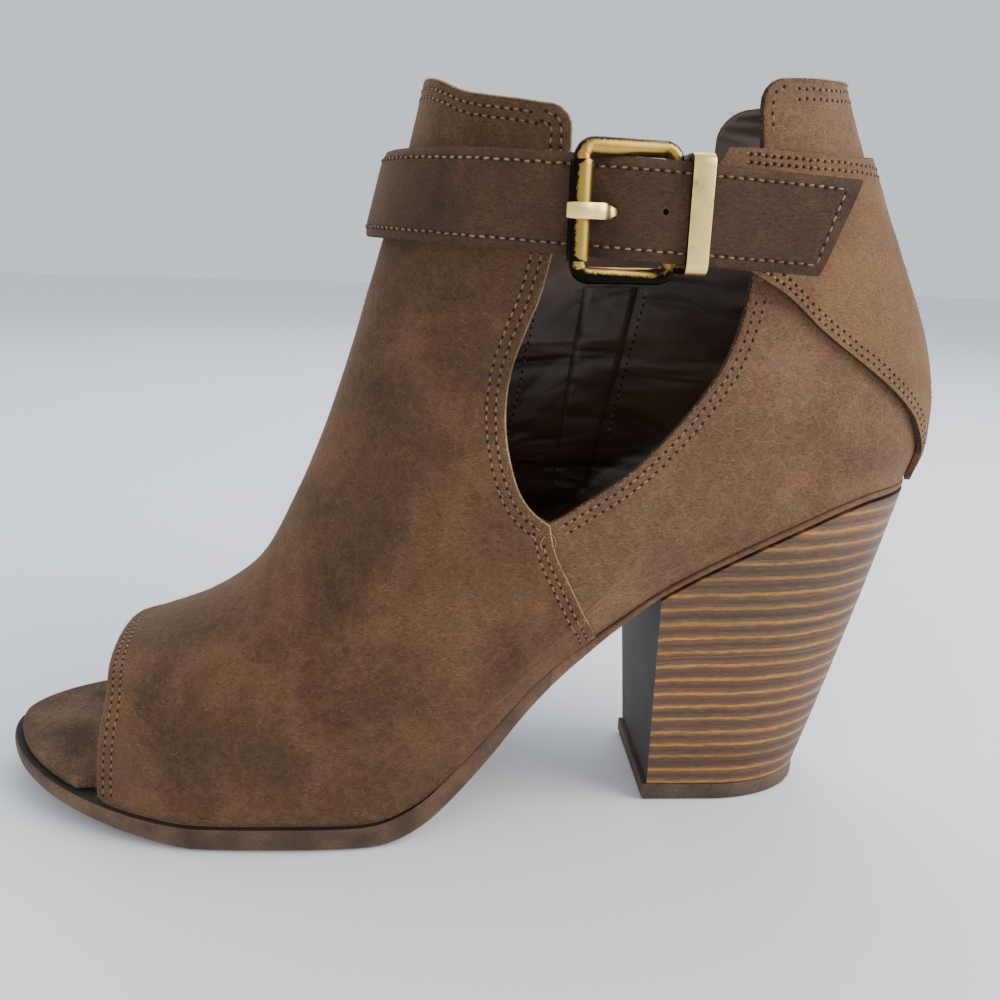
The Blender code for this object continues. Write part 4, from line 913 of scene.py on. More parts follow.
strap = {
    "tail": 34 * mm, "slant": 7 * mm, "slantFade": 14 * mm, "bulge": 10 * mm, "return": 3.2 * mm,
    # the prong's hole as a share of the buckle's length, half its length, and the spare pinhole
    "holeAlong": 0.70, "holeReach": 2.1 * mm, "pinhole": 0.6 * mm, "pinholeFromTail": 36.7 * mm,
    # turn round the ankle and how far it stands off, as a share of the bulge
    "path": ((-0.350, 0.000), (-0.300, 0.000), (-0.240, 0.060), (-0.180, 0.130), (-0.120, 0.200),
             (-0.060, 0.220), (0.000, 0.200), (0.060, 0.280), (0.110, 0.450), (0.150, 0.660)),
    "throughBuckle": ((-0.233, -0.20), (0.000, 0.00), (0.207, 0.30), (0.534, 0.96), (0.793, 1.08),
                      (1.000, 1.04)),
    "tailWay": ((0.118, 0.03), (0.350, 0.28), (0.700, 0.63), (1.000, 1.00)),
}
barSpacing = buckle["length"] - buckle["wire"]
buckleMiddle = float(strapMiddle(buckle["x"])) - buckle["drop"]


def strapRun():
    half = buckle["strapThickness"] / 2
    hug = panelOuter + last["gap"] + half
    turns, off = np.array(curveThrough(strap["path"], 4)).T
    level = levelWhere(turns, lambda p: p[..., 2] - strapMiddle(p[..., 0]), hug)
    points = lastPoint(level, turns, hug + strap["bulge"] * off, creased=False)
    above = lastPoint(level + 0.3, turns, hug + strap["bulge"] * off, creased=False)
    points[:, 2] = strapMiddle(points[:, 0])
    up = (above - points) / np.linalg.norm(above - points, axis=1, keepdims=True)
    rows = list(np.concatenate([points, up], 1))
    underRoller = rollerY + wireRadius + buckle["rollerWall"] + 2 * last["gap"] + half
    overLoop = hingeY - loopRadius - last["gap"] - half
    way = [(rollerX + barSpacing * along, underRoller + (overLoop - underRoller) * over)
           for along, over in strap["throughBuckle"]]
    way += [(hingeX + strap["tail"] * along, overLoop + strap["return"] * back)
            for along, back in strap["tailWay"]]
    rows += [np.array([x, y, float(strapMiddle(x)), 0, 0, 1]) for x, y in way]
    return np.array(curveThrough(rows, 8))


def strapFrames():
    # middle, up and out of each cross section, with the slant of the tail's end
    run = strapRun()
    ahead = np.gradient(run[:, :3], axis=0)
    up = run[:, 3:] / np.linalg.norm(run[:, 3:], axis=1, keepdims=True)
    out = np.cross(ahead, up)
    out /= np.linalg.norm(out, axis=1, keepdims=True)
    ahead /= np.linalg.norm(ahead, axis=1, keepdims=True)
    length = np.concatenate([[0], np.cumsum(np.linalg.norm(np.diff(run[:, :3], axis=0), axis=1))])
    return run[:, :3], up, out, ahead, length


def strapPlace(along, across, proud=0.0):
    # a place on the strap's outer face: along in metres from the tail's end, across from its middle
    middle, up, out, ahead, length = strapFrame
    end = length[-1] + strap["slant"] * across / buckle["strapWidth"] * np.exp(-along / strap["slantFade"])
    at = np.clip(end - along, 0, length[-1] * 2)
    pick = lambda rows: np.array([np.interp(at, length, rows[:, k]) for k in range(3)])
    over = max(0.0, at - length[-1])
    place = pick(middle) + pick(up) * across + pick(out) * (buckle["strapThickness"] / 2 + proud)
    return place + ahead[-1] * over, pick(ahead), pick(out)


def makeStrap():
    middle, up, out, ahead, length = strapFrame
    halfWide, halfThick = buckle["strapWidth"] / 2, buckle["strapThickness"] / 2
    # the section: thirteen places across each face, rounded at the edges
    across = np.linspace(-1, 1, 13)
    crown = np.where(np.abs(across) > 0.97, 0.45, np.where(np.abs(across) > 0.82, 1.02, 1.0))
    crown = np.where(np.abs(np.abs(across) - 0.83) < 0.02, 0.86, crown)
    section = [(a, c) for a, c in zip(across, crown)] + [(1.03, 0.0)]
    section += [(a, -c) for a, c in zip(across[::-1], crown[::-1])] + [(-1.03, 0.0)]
    sections = []
    for i in range(len(middle)):
        near = np.exp(-(length[-1] - length[i]) / strap["slantFade"]) if i > len(middle) * 0.6 else 0.0
        sections.append([middle[i] + up[i] * a * halfWide + out[i] * c * halfThick
                         + ahead[i] * strap["slant"] / 2 * a * near for a, c in section])
    made = tubeThrough("ankleStrap", sections, strapNubuck)
    made.data.materials.append(edgeFibre)
    for face in made.data.polygons:
        centre = np.array(face.center)
        nearest = int(np.argmin(np.linalg.norm(middle - centre, axis=1)))
        sideways = abs(float((centre - middle[nearest]) @ up[nearest]))
        if sideways > halfWide * 0.965 or len(face.vertices) > 4:
            face.material_index = 1
    boreWith(made, edgeFibre, stretch=(strap["holeReach"], buckle["prong"] / 2 + 2 * last["gap"], wide),
             vertices=32, radius=1, depth=1, rotation=(math.pi / 2, 0, 0),
             location=(hingeX - barSpacing * strap["holeAlong"], -wide / 2 - 2 * mm, buckleMiddle))
    place, onward, outward = strapPlace(strap["pinholeFromTail"], 0.0)
    boreWith(made, edgeFibre, vertices=20, radius=strap["pinhole"], depth=3.4 * mm, location=place,
             rotation=Vector(outward).to_track_quat("Z", "Y").to_euler())
    smoothBy(made, 48)
    dress(made, "strap_suede", "strap")
    return made


strapFrame = strapFrames()
ankleStrap = makeStrap()
print("strap made")


# ---- sole, insole, heel and lift

sole = {
    "around": 300, "margin": 1.6 * mm, "bevel": 1.9 * mm, "insole": 2.6 * mm, "ease": 1.6 * mm,
    "breastX": last["heelBackX"] - 66 * mm, "liftLength": 46 * mm, "liftWidth": 36 * mm,
    "lift": 4.6 * mm, "lip": 1.2 * mm, "wrapX": -50 * mm,   # behind it the edge is wrapped in nubuck
}


def outlineRing(widen, height, inset):
    half = sole["around"] // 2
    along = np.concatenate([np.arange(half) / half, 2 - np.arange(half, 2 * half) / half])
    bunched = (1 - np.cos(np.pi * along)) / 2
    mixed = np.minimum(1.0, np.minimum(along, 1 - along) / 0.2) * 0.4
    share = bunched * (1 - mixed) + along * mixed
    side = np.where(np.arange(2 * half) < half, -1.0, 1.0)
    side[[0, half]] = 0
    x = placeX(share)
    y = last["toeSwing"] * (1 - share) + side * soleHalf(share, side)
    ahead = np.stack([np.roll(x, -1) - np.roll(x, 1), np.roll(y, -1) - np.roll(y, 1)], 1)
    ahead /= np.linalg.norm(ahead, axis=1, keepdims=True)
    push = widen(share) - inset
    x, y = x + ahead[:, 1] * push, y - ahead[:, 0] * push
    return np.stack([x, y, height(np.clip(placeShare(x), 0, 1))], 1)


def crossStrips(count, start):
    # closes a ring of the sole with strips straight across it
    half = count // 2
    faces = [(start, start + 1, start + count - 1)]
    faces += [(start + i, start + i + 1, start + count - i - 1, start + count - i) for i in range(1, half - 1)]
    return faces + [(start + half - 1, start + half, start + half + 1)]


def soleBody(name, ringsUp, material):
    points, count = np.concatenate(ringsUp), len(ringsUp[0])
    faces = bandFaces(len(ringsUp), count) + crossStrips(count, 0) + crossStrips(count, len(points) - count)
    made = makeObject(name, points, faces, material)
    faceOutwards(made)
    smoothBy(made, 40)
    return made


def soleMargin(share):
    fade = np.clip((share - 0.40) / 0.22, 0, 1)
    return sole["margin"] * (1 - fade * fade * (3 - 2 * fade))


def insoleInset(share):
    openEnd = (upper["toeDepth"] - upper["toeSlant"] / 2) / last["length"]
    narrowing = 2 * mm / last["length"]
    step = np.clip((share - openEnd + 2 * narrowing) / narrowing, 0, 1)
    inside = upper["wall"] + upper["vampStep"] + sole["ease"]
    return -(2 * last["gap"] + (inside - 2 * last["gap"]) * step)


def makeSole():
    edge = ((0.00, 1.00), (0.06, 0.62), (0.16, 0.33), (0.30, 0.14), (0.50, 0.03), (0.70, 0.00), (0.84, 0.02),
            (0.94, 0.10), (1.00, 0.25))
    ringsUp = [outlineRing(soleMargin, lambda s, m=up: soleBottom(s) * (1 - m) + soleTop(s) * m,
                           inset * sole["bevel"]) for up, inset in edge]
    made = soleBody("rubberSole", ringsUp, soleRubber)
    made.data.materials.append(soleGlue)
    # behind wrapX the edge takes the quarter's lighter nubuck, painted light included
    made.data.materials.append(quarterNubuckWithPaintedLight)
    for face in made.data.polygons:
        if face.center.x > sole["wrapX"]:
            face.material_index = 2
        elif face.normal.z > 0.72:
            face.material_index = 1
    dress(made, "outsole_rubber", "outsole")
    edge = ((0.00, 0.0), (0.55, 0.0), (0.82, 0.25), (0.96, 0.65), (1.00, 1.1))
    ringsUp = [outlineRing(insoleInset, lambda s, m=up: soleTop(s) + last["gap"] + sole["insole"] * m,
                           inset * 0.6 * mm) for up, inset in edge]
    made = soleBody("suedeInsole", ringsUp, insoleSuede)
    dress(made, "insole_suede", "insole")


def heelRing(drop, steps=44):
    breast = [(0.0, i / 12) for i in range(12)]
    even = np.arange(steps + 1) / steps
    half = breast + [((1 - math.cos(math.pi / 2 * e)) * 0.35 + e * 0.65, 1.0) for e in even]
    sides = [(a, w, -1) for a, w in half] + [(a, w, 1) for a, w in reversed(half[1:-1])]
    along, wideAt, side = (np.array(v, float) for v in zip(*sides))
    topX = sole["breastX"] + (last["heelBackX"] - sole["breastX"]) * along
    lowX = -sole["liftLength"] / 2 + sole["lip"] + (sole["liftLength"] - sole["lip"]) * along
    share = placeShare(topX)
    topY = last["toeSwing"] * (1 - share) + side * soleHalf(share, side) * wideAt
    lowY = side * sole["liftWidth"] / 2 * roundEnd((1 - along) / 0.62, 2.0) * wideAt
    topZ, lowZ = soleBottom(share) - last["gap"], sole["lift"] + last["gap"]
    return np.stack([topX * (1 - drop) + lowX * drop + 4 * drop * (1 - drop) * 0.6 * mm * along,
                     topY * (1 - drop) + lowY * drop, topZ * (1 - drop) + lowZ * drop], 1)


def makeHeel():
    drops = np.linspace(1, 0, 41)
    made = soleBody("stackedHeel", [heelRing(d) for d in drops], heelStack)
    made.data.materials.append(heelBreast)
    for face in made.data.polygons:
        if face.normal.x < -0.75:
            face.material_index = 1
    dress(made, "stacked_heel", "heel")
    base = heelRing(1.0)
    front = base[:, 0].min()
    base[:, 0] = np.where(base[:, 0] < front + sole["lip"] / 4, base[:, 0] - sole["lip"], base[:, 0])
    ringsUp = []
    for up, shrink in ((0.0, 0.972), (0.06, 0.987), (0.18, 0.997), (0.5, 1.0), (0.9, 1.0), (1.0, 0.992)):
        ring = base * shrink
        ring[:, 2] = sole["lift"] * up
        ringsUp.append(ring)
    dress(soleBody("topLift", ringsUp, liftRubber), "lift_rubber", "top_lift")


makeSole()
makeHeel()
print("sole and heel made")


# ---- buckle and keeper

def frameCentre(cornerX, cornerZ):
    lean = cornerX / (buckle["length"] / 2 - wireRadius)
    return np.array([buckle["x"] + cornerX, -buckle["standOff"] + buckle["lean"] / 2 * lean,
                     buckleMiddle + cornerZ])


def markWearAndLight(piece, rubbedAndLit):
    # how far the black lacquer is rubbed off, with a painted highlight mixed in, kept on the mesh for the material
    layer = piece.data.attributes.new("rubbedAndLit", "FLOAT", "POINT")
    layer.data.foreach_set("value", [float(np.clip(rubbedAndLit(np.array(v.co)), 0, 1)) for v in piece.data.vertices])


def makeFrame():
    halfX, halfZ = buckle["length"] / 2 - wireRadius, buckle["height"] / 2 - wireRadius
    corner = buckle["corner"]
    centres = []
    for signX, signZ, start in ((1, 1, 0), (-1, 1, 90), (-1, -1, 180), (1, -1, 270)):
        for step in range(10):
            angle = math.radians(start + 10 * step)
            centres.append(frameCentre(signX * (halfX - corner) + corner * math.cos(angle),
                                       signZ * (halfZ - corner) + corner * math.sin(angle)))
    straight = []
    for a, b in zip(centres, centres[1:] + centres[:1]):
        straight += [a + (b - a) * s for s in (np.arange(8) / 8 if np.linalg.norm(b - a) > 4 * mm else (0.0,))]
    across = np.array([-buckle["lean"] / 2, -halfX, 0])
    across /= np.linalg.norm(across)
    sections, sides = [], 20
    for i, centre in enumerate(straight):
        along = straight[(i + 1) % len(straight)] - straight[i - 1]
        outward = np.cross(across, along)
        outward /= np.linalg.norm(outward)
        # cast wire: round, a little flat in front, with a few dents
        dent = 1 - 0.03 * math.sin(i * 1.7) * math.sin(i * 0.63)
        sections.append([centre + wireRadius * dent * (across * math.cos(2 * math.pi * k / sides) * 0.94
                                                       + outward * math.sin(2 * math.pi * k / sides))
                         for k in range(sides)])
    made = tubeThrough("buckleFrame", sections, agedBrassWithPaintedLight, closed=True)
    paths, middle = np.array(straight), frameCentre(0, 0)

    def rubbedAndLit(place):
        # bright where the hand rubs it on the inner edge, least on the lower bar; lighter on the faces towards the
        # front and the top, a painted highlight
        centre = paths[np.argmin(np.linalg.norm(paths - place, axis=1))]
        off = (place - centre) / wireRadius
        out = (centre - middle) / np.linalg.norm(centre - middle)
        low = 0.5 if centre[2] < middle[2] - halfZ * 0.9 else 0.0
        return 0.30 - 0.62 * off[1] - 0.55 * float(off @ out) + 0.25 * off[2] - low

    markWearAndLight(made, rubbedAndLit)
    smoothBy(made, 60)
    dress(made, "aged_brass", "buckle_frame")


def makeRoller():
    half = buckle["height"] / 2 - wireRadius - buckle["corner"] - last["gap"]
    bore, chamfer, skin = (wireRadius + wall * mm for wall in (0.13, 0.45, 0.55))
    end = half - 0.15 * mm
    profile = [(bore, -half), (chamfer, -half), (skin, -end)]
    profile += [(skin, z) for z in np.linspace(-half + 1 * mm, half - 1 * mm, 6)]
    profile += [(skin, end), (chamfer, half), (bore, half)]
    sections = [[(rollerX + r * math.cos(2 * math.pi * k / 36), rollerY + r * math.sin(2 * math.pi * k / 36),
                  buckleMiddle + z) for k in range(36)] for r, z in profile]
    made = tubeThrough("buckleRoller", sections, agedBrassWithPaintedLight, closed=True)
    # brighter on the inner side where it is rubbed and on the front, a painted highlight; darker towards the ends
    markWearAndLight(made, lambda place: 0.22 - 0.45 * (place[1] - rollerY) / wireRadius
             + 0.62 * (place[0] - rollerX) / wireRadius
             - 0.6 * max(0.0, (abs(place[2] - buckleMiddle) - half + 1.1 * mm) / mm))
    smoothBy(made, 50)
    dress(made, "bright_brass", "buckle_roller")


def makeProng():
    inner = wireRadius + 0.13 * mm
    rise = wireRadius + buckle["rollerWall"] + last["gap"] + buckle["prong"] / 2
    # share of the way to the roller, how far out as a share of the rise, height in millimetres
    way = ((0.083, 0.43, 1.7), (0.259, 0.05, 1.7), (0.440, -0.07, 1.7), (0.690, -0.05, 2.4),
           (0.752, 0.40, 3.0), (0.778, 0.94, 3.0), (0.900, 1.000, 3.0), (1.000, 1.000, 3.0),
           (1.110, 0.860, 2.9), (1.150, 0.780, 2.6))
    run = curveThrough([(hingeX - barSpacing * a, hingeY - buckle["lean"] * a - rise * o, w * mm)
                        for a, o, w in way], 5)
    sections = []
    for i, (x, y, tall) in enumerate(run):
        before, after = run[max(i - 1, 0)], run[min(i + 1, len(run) - 1)]
        onward = np.array([after[0] - before[0], after[1] - before[1], 0])
        onward /= np.linalg.norm(onward)
        across = np.array([-onward[1], onward[0], 0])
        half = buckle["prong"] / 2 * (1 if i < len(run) - 2 else 0.8)
        section = []
        for signA, signZ in ((1, 1), (-1, 1), (-1, -1), (1, -1)):
            for ca, cz in ((1.0, 0.72), (0.72, 1.0)) if signA * signZ > 0 else ((0.72, 1.0), (1.0, 0.72)):
                section.append(np.array([x, y, buckleMiddle]) + across * half * signA * ca
                               + np.array([0, 0, tall / 2 * signZ * cz]))
        sections.append(section)
    made = tubeThrough("buckleProng", sections, brightBrass)
    for radius, operation in ((inner + buckle["prongRing"], "UNION"), (inner, "DIFFERENCE")):
        boreWith(made, brightBrass, operation, vertices=32, radius=radius,
                 depth=buckle["prong"] * (1 if operation == "UNION" else 9),
                 location=(hingeX, hingeY, buckleMiddle))
    smoothBy(made, 35)
    dress(made, "bright_brass", "buckle_prong")


def makeKeeper():
    front = hingeX + wireRadius + last["gap"]
    width, bar, corner = buckle["keeperWidth"], buckle["keeperBar"], 1.0 * mm
    middle = float(strapMiddle(front + width / 2))
    outer = hingeY - loopRadius - last["gap"] - buckle["strapThickness"] - 1.5 * last["gap"]
    inner = hingeY + loopRadius + last["gap"]
    half = buckle["strapWidth"] / 2 + 0.8 * mm
    centreY, halfY = (outer + inner) / 2, (inner - outer) / 2
    boxes = []
    for size in ((width, 2 * (halfY + bar), 2 * (half + bar)), (width * 3, 2 * halfY, 2 * half)):
        bpy.ops.mesh.primitive_cube_add(size=1, location=(front + width / 2, centreY, middle))
        box = bpy.context.object
        box.scale = size
        placeInMesh(box)
        box.data.materials.append(brightBrass)
        boxes.append(box)
    made, hole = boxes
    made.name = "buckleKeeper"
    made.data.materials.append(brassSide)
    for piece, rounded in ((made, corner + bar), (hole, corner)):
        choose(piece)
        bpy.ops.object.mode_set(mode="EDIT")
        bpy.ops.mesh.select_mode(type="EDGE")
        bpy.ops.mesh.select_all(action="DESELECT")
        bpy.ops.object.mode_set(mode="OBJECT")
        for edge in piece.data.edges:
            a, b = (piece.data.vertices[v].co for v in edge.vertices)
            edge.select = abs(a.x - b.x) > 1 * mm
        bpy.ops.object.mode_set(mode="EDIT")
        bpy.ops.mesh.bevel(offset=rounded, segments=5)
        bpy.ops.object.mode_set(mode="OBJECT")
    cutWith(made, hole)
    applyModifier(made, "BEVEL", width=0.22 * mm, segments=2, limit_method="ANGLE", angle_limit=0.9)
    for face in made.data.polygons:
        if abs(face.normal.x) > 0.8:
            face.material_index = 1
    smoothBy(made, 40)
    dress(made, "bright_brass", "buckle_keeper")


makeFrame()
makeRoller()
makeProng()
makeKeeper()
print("buckle made")


# ---- stitches, lining strip, threads and nap

stitching = {
    "pitch": 2.1 * mm, "length": 1.45 * mm, "thread": 0.25 * mm, "sunk": 0.07 * mm, "jitter": 0.05 * mm,
    # how far each pair of rows lies from its edge, in millimetres
    "front": (1.9, 3.9), "rear": (1.7, 3.6), "seam": (1.8, 3.6), "collar": (2.0, 4.0), "toe": (1.6, 3.7),
    "panel": (1.4, 3.0), "panelTop": (1.6, 3.2), "strap": 1.9,
}


def modelStitch():
    # one stitch: a short round thread that dips into its needle holes
    bpy.ops.object.select_all(action="DESELECT")
    bpy.ops.mesh.primitive_uv_sphere_add(segments=6, ring_count=6, radius=1)
    stitch = bpy.context.object
    points = np.array([v.co[:] for v in stitch.data.vertices])
    faces = [tuple(p.vertices) for p in stitch.data.polygons]
    bpy.data.objects.remove(stitch)
    points = points * (stitching["length"] / 2, stitching["thread"], stitching["thread"])
    points[:, 2] -= 0.5 * stitching["thread"] * (points[:, 0] / (stitching["length"] / 2))**4
    # a needle hole: a small flat dark disc, painted shade in the hole
    bpy.ops.mesh.primitive_uv_sphere_add(segments=6, ring_count=3, radius=1)
    hole = bpy.context.object
    holePoints = np.array([v.co[:] for v in hole.data.vertices]) * (0.50 * mm, 0.42 * mm, 0.20 * mm)
    holeFaces = [tuple(p.vertices) for p in hole.data.polygons]
    bpy.data.objects.remove(hole)
    return (points, faces), (holePoints + (stitching["pitch"] / 2, 0, 0), holeFaces)


stitchModel, holeModel = modelStitch()


def resample(points, pitch):
    points = np.array(points)
    length = np.concatenate([[0], np.cumsum(np.linalg.norm(np.diff(points[:, :3], axis=0), axis=1))])
    at = np.arange(pitch / 2, length[-1], pitch)
    return np.stack([np.interp(at, length, points[:, k]) for k in range(points.shape[1])], 1)


def copyAlong(model, rows, jitter=stitching["jitter"]):
    # copies of a model along rows of place, onward and outward
    basePoints, baseFaces = model
    points, faces = [], []
    for place, onward, outward in rows:
        side = np.cross(outward, onward)
        turn = dice.normal(0, 0.07)
        onward2 = onward * math.cos(turn) + side * math.sin(turn)
        side = np.cross(outward, onward2)
        shift = place + side * dice.normal(0, jitter)
        start = len(points) * len(basePoints)
        points.append(shift + basePoints @ np.stack([onward2, side, outward]))
        faces += [tuple(start + v for v in face) for face in baseFaces]
    return np.concatenate(points), faces


def seatedRow(chain):
    # rows of place, onward and outward, a stitch apart, from a chain of place and outward
    chain = resample(chain, stitching["pitch"])
    places, outwards = chain[:, :3], chain[:, 3:]
    onward = np.gradient(places, axis=0)
    onward -= outwards * np.sum(onward * outwards, 1)[:, None]
    onward /= np.linalg.norm(onward, axis=1, keepdims=True)
    return [(p - o * stitching["sunk"], a, o) for p, a, o in zip(places, onward, outwards)]


def treeOf(*pieces):
    return [BVHTree.FromPolygons([v.co[:] for v in piece.data.vertices],
                                 [tuple(p.vertices) for p in piece.data.polygons]) for piece in pieces]


bodyTrees = treeOf(quarterShell, vampShell, backPanel)


def rowOnSide(flat, side=-1):
    # a line drawn from the side, set down on the outermost surface there
    chain = []
    for x, z in resample(flat, 0.35 * mm):
        best = None
        for tree in bodyTrees:
            place, normal, _, _ = tree.ray_cast(Vector((x, side * 0.2, z)), Vector((0, -side, 0)))
            if place and place.y * side > 0 and (best is None or place.y * side > best[0].y * side):
                best = (place, normal)
        if best:
            place, normal = best
            if normal.y * side < 0:
                normal = -normal
            chain.append(np.array([*place, *normal]))
    return seatedRow(chain)


def rowByTurn(test, turns, offset, flare=0.0):
    # a line round the last where test passes zero
    turns = np.asarray(turns) % 1
    level = levelWhere(turns, test, offset)
    return seatedRow(np.concatenate([lastPoint(level, turns, offset, flare), ringNormal(level, turns)], 1))


def shifted(flat, distance):
    # a line moved square to itself, seen from the side
    flat = np.array(flat)
    keep = [0] + [i for i in range(1, len(flat)) if np.linalg.norm(flat[i] - flat[i - 1]) > 0.05 * mm]
    flat = flat[keep]
    ahead = np.gradient(flat, axis=0)
    ahead /= np.linalg.norm(ahead, axis=1, keepdims=True)
    return flat + np.stack([-ahead[:, 1], ahead[:, 0]], 1) * distance


def between(flat, low, high, axis=1):
    return [p for p in flat if low * mm <= p[axis] <= high * mm]


def collarTest(drop):
    return lambda p: p[..., 2] - collarHeight(p[..., 0]) + drop


def toeTest(back):
    edge = np.array(lines["toeEdge"])
    rising = edge[np.argsort(edge[:, 1])]
    slant = upper["toeSlant"] / wide
    return lambda p: p[..., 0] + slant * p[..., 1] - np.interp(p[..., 2], rising[:, 1], rising[:, 0]) - back


def panelRow(around, flip, test):
    return rowByTurn(test, panelTurn(around, flip), panelOuter, buckle["flare"])


def allRows():
    rows = [rowOnSide(shifted(lines["front"] + lines["frontTab"][:-1], inset * mm)) for inset in stitching["front"]]
    rows += [rowOnSide(between(shifted(lines["rear"], -inset * mm), 60, 131)) for inset in stitching["rear"]]
    for inset in stitching["seam"]:
        seam = shifted(lines["seam"], inset * mm)
        rows += [rowOnSide(between(seam, 9, 79.5)), rowOnSide(between(seam, 9, 172), 1)]
    rows.append(rowOnSide(between(shifted(lines["rear"] + lines["backTab"][:-1], -2.0 * mm), 164, 176)))
    for drop in stitching["collar"]:
        # the rows end before the notch on the outer side (y below 0) and on the inner side
        row = rowByTurn(collarTest(drop * mm), np.linspace(-0.25, 0.22, 200), 0.0)
        rows.append([stitch for stitch in row if stitch[0][0] < (-59 if stitch[0][1] < 0 else -62) * mm])
        row = rowByTurn(collarTest(drop * mm), np.linspace(0.28, 0.75, 200), quarter)
        rows.append([stitch for stitch in row if stitch[0][0] > (-6 if stitch[0][1] < 0 else 5) * mm])
    for back in stitching["toe"]:
        row = rowByTurn(toeTest(back * mm), np.linspace(-0.30, 0.30, 260), 0.0)
        rows.append([stitch for stitch in row
                     if stitch[0][2] > soleTop(placeShare(stitch[0][0])) + 1.6 * mm])
    outline = np.array([row for row in curveThrough(panel["shape"], 6) if row[0] < 0.84])
    for inset in stitching["panel"]:
        for flip in (False, True):
            rows.append(panelRow(outline[:, 0], flip, panelEdge(outline[:, 1], inset * 1.25 * mm)))
    for drop in stitching["panelTop"]:
        rows.append(panelRow(np.linspace(0.17, 1, 60), False, panelEdge(0.995, -drop * mm, low=False)))
    return rows


def strapRows():
    edge = buckle["strapWidth"] / 2 - stitching["strap"] * mm
    lengthwise = np.arange(2.6 * mm, strapFrame[4][-1] - 4 * mm, 0.5 * mm)
    ways = [[(along, side * edge) for along in lengthwise] for side in (-1, 1)]
    ways.append([(2.4 * mm, across) for across in np.linspace(-edge, edge, 40)])
    rows = []
    for way in ways:
        places = [strapPlace(along, across) for along, across in way]
        rows.append(seatedRow([np.concatenate([place, outward]) for place, onward, outward in places]))
    return rows


def sewOn(name, rows, material, slot):
    flat = [row for chain in rows for row in chain]
    points, faces = copyAlong(stitchModel, flat)
    holes, holeFaces = copyAlong(holeModel, flat, 0.0)
    made = makeObject(name, np.concatenate([points, holes]),
                      faces + [tuple(len(points) + v for v in face) for face in holeFaces], material)
    # the hole discs take the needle hole's dark colour, painted shade
    made.data.materials.append(needleHole)
    for face in made.data.polygons[len(faces):]:
        face.material_index = 1
    choose(made)
    bpy.ops.object.shade_smooth()
    dress(made, slot)


def liningRows():
    # two seams of the lining, seen from the side in millimetres
    rows = []
    for way in (((-51.3, 125.1), (-53.6, 113.1), (-55.7, 99.1), (-58.1, 87.3)),
                ((-20.7, 130.1), (-24.4, 110.9), (-28.7, 88.1))):
        chain = []
        for x, z in resample(np.array(way) * mm, 0.5 * mm):
            place, normal, _, _ = bodyTrees[0].ray_cast(Vector((x, 0.0, z)), Vector((0, 1, 0)))
            if place:
                chain.append(np.array([*place, *(normal if normal.y < 0 else -normal)]))
        rows.append(seatedRow(chain))
    return rows


sewOn("upperStitches", allRows(), tanThread, "upper_suede")
sewOn("liningStitches", liningRows(), tanThread, "upper_suede")
sewOn("strapStitches", strapRows(), tanThread, "strap_suede")
print("stitches made")


liningStrip = {
    # left and right edge of the strip seen from the side, in millimetres
    "left": ((-38.1, 131.0), (-40.6, 113.3), (-43.1, 90.7), (-45.1, 71.0)),
    "right": ((-23.0, 131.4), (-26.4, 110.9), (-31.3, 88.0), (-34.8, 69.0)),
    "thick": 0.9 * mm,
}


def makeLiningStrip():
    # the strip inside, over the inner quarter's seam, laid on the lining
    left = resample(np.array(liningStrip["left"]) * mm, 1.6 * mm)
    right = resample(np.array(liningStrip["right"]) * mm, 1.6 * mm)
    count = min(len(left), len(right))
    across = np.linspace(0, 1, 13)
    grid = np.zeros((count, len(across), 3))
    tree = bodyTrees[0]
    for r in range(count):
        for c, a in enumerate(across):
            x, z = left[r] * (1 - a) + right[r] * a
            place = tree.ray_cast(Vector((x, 0.0, z)), Vector((0, 1, 0)))[0]
            swell = 0.35 * mm * math.sin(math.pi * a) * (0.5 + 0.5 * math.sin(z / (2.6 * mm)))
            edge = 1.0 if 0 < c < len(across) - 1 else 0.35
            grid[r, c] = (x, place.y - liningStrip["thick"] * edge - swell, z)
    points = np.concatenate([grid.reshape(-1, 3), grid.reshape(-1, 3) + (0, liningStrip["thick"] * 1.2, 0)])
    columns, total, faces = len(across), count * len(across), []
    for r in range(count - 1):
        for c in range(columns - 1):
            a = r * columns + c
            faces.append((a, a + 1, a + columns + 1, a + columns))
            faces.append((total + a, total + a + columns, total + a + columns + 1, total + a + 1))
    rim = [r * columns for r in range(count)] + [(count - 1) * columns + c for c in range(1, columns)]
    rim += [r * columns + columns - 1 for r in range(count - 2, -1, -1)] + list(range(columns - 2, 0, -1))
    for a, b in zip(rim, rim[1:] + rim[:1]):
        faces.append((a, b, total + b, total + a))
    made = makeObject("liningStrip", points, faces, lining)
    faceOutwards(made)
    smoothBy(made, 50)
    dress(made, "upper_suede")


makeLiningStrip()
print("lining strip made")


nap = {"edgeHairs": 3600, "edgeReach": 1.1 * mm, "surfaceHairs": 9000, "surfaceReach": 0.75 * mm}


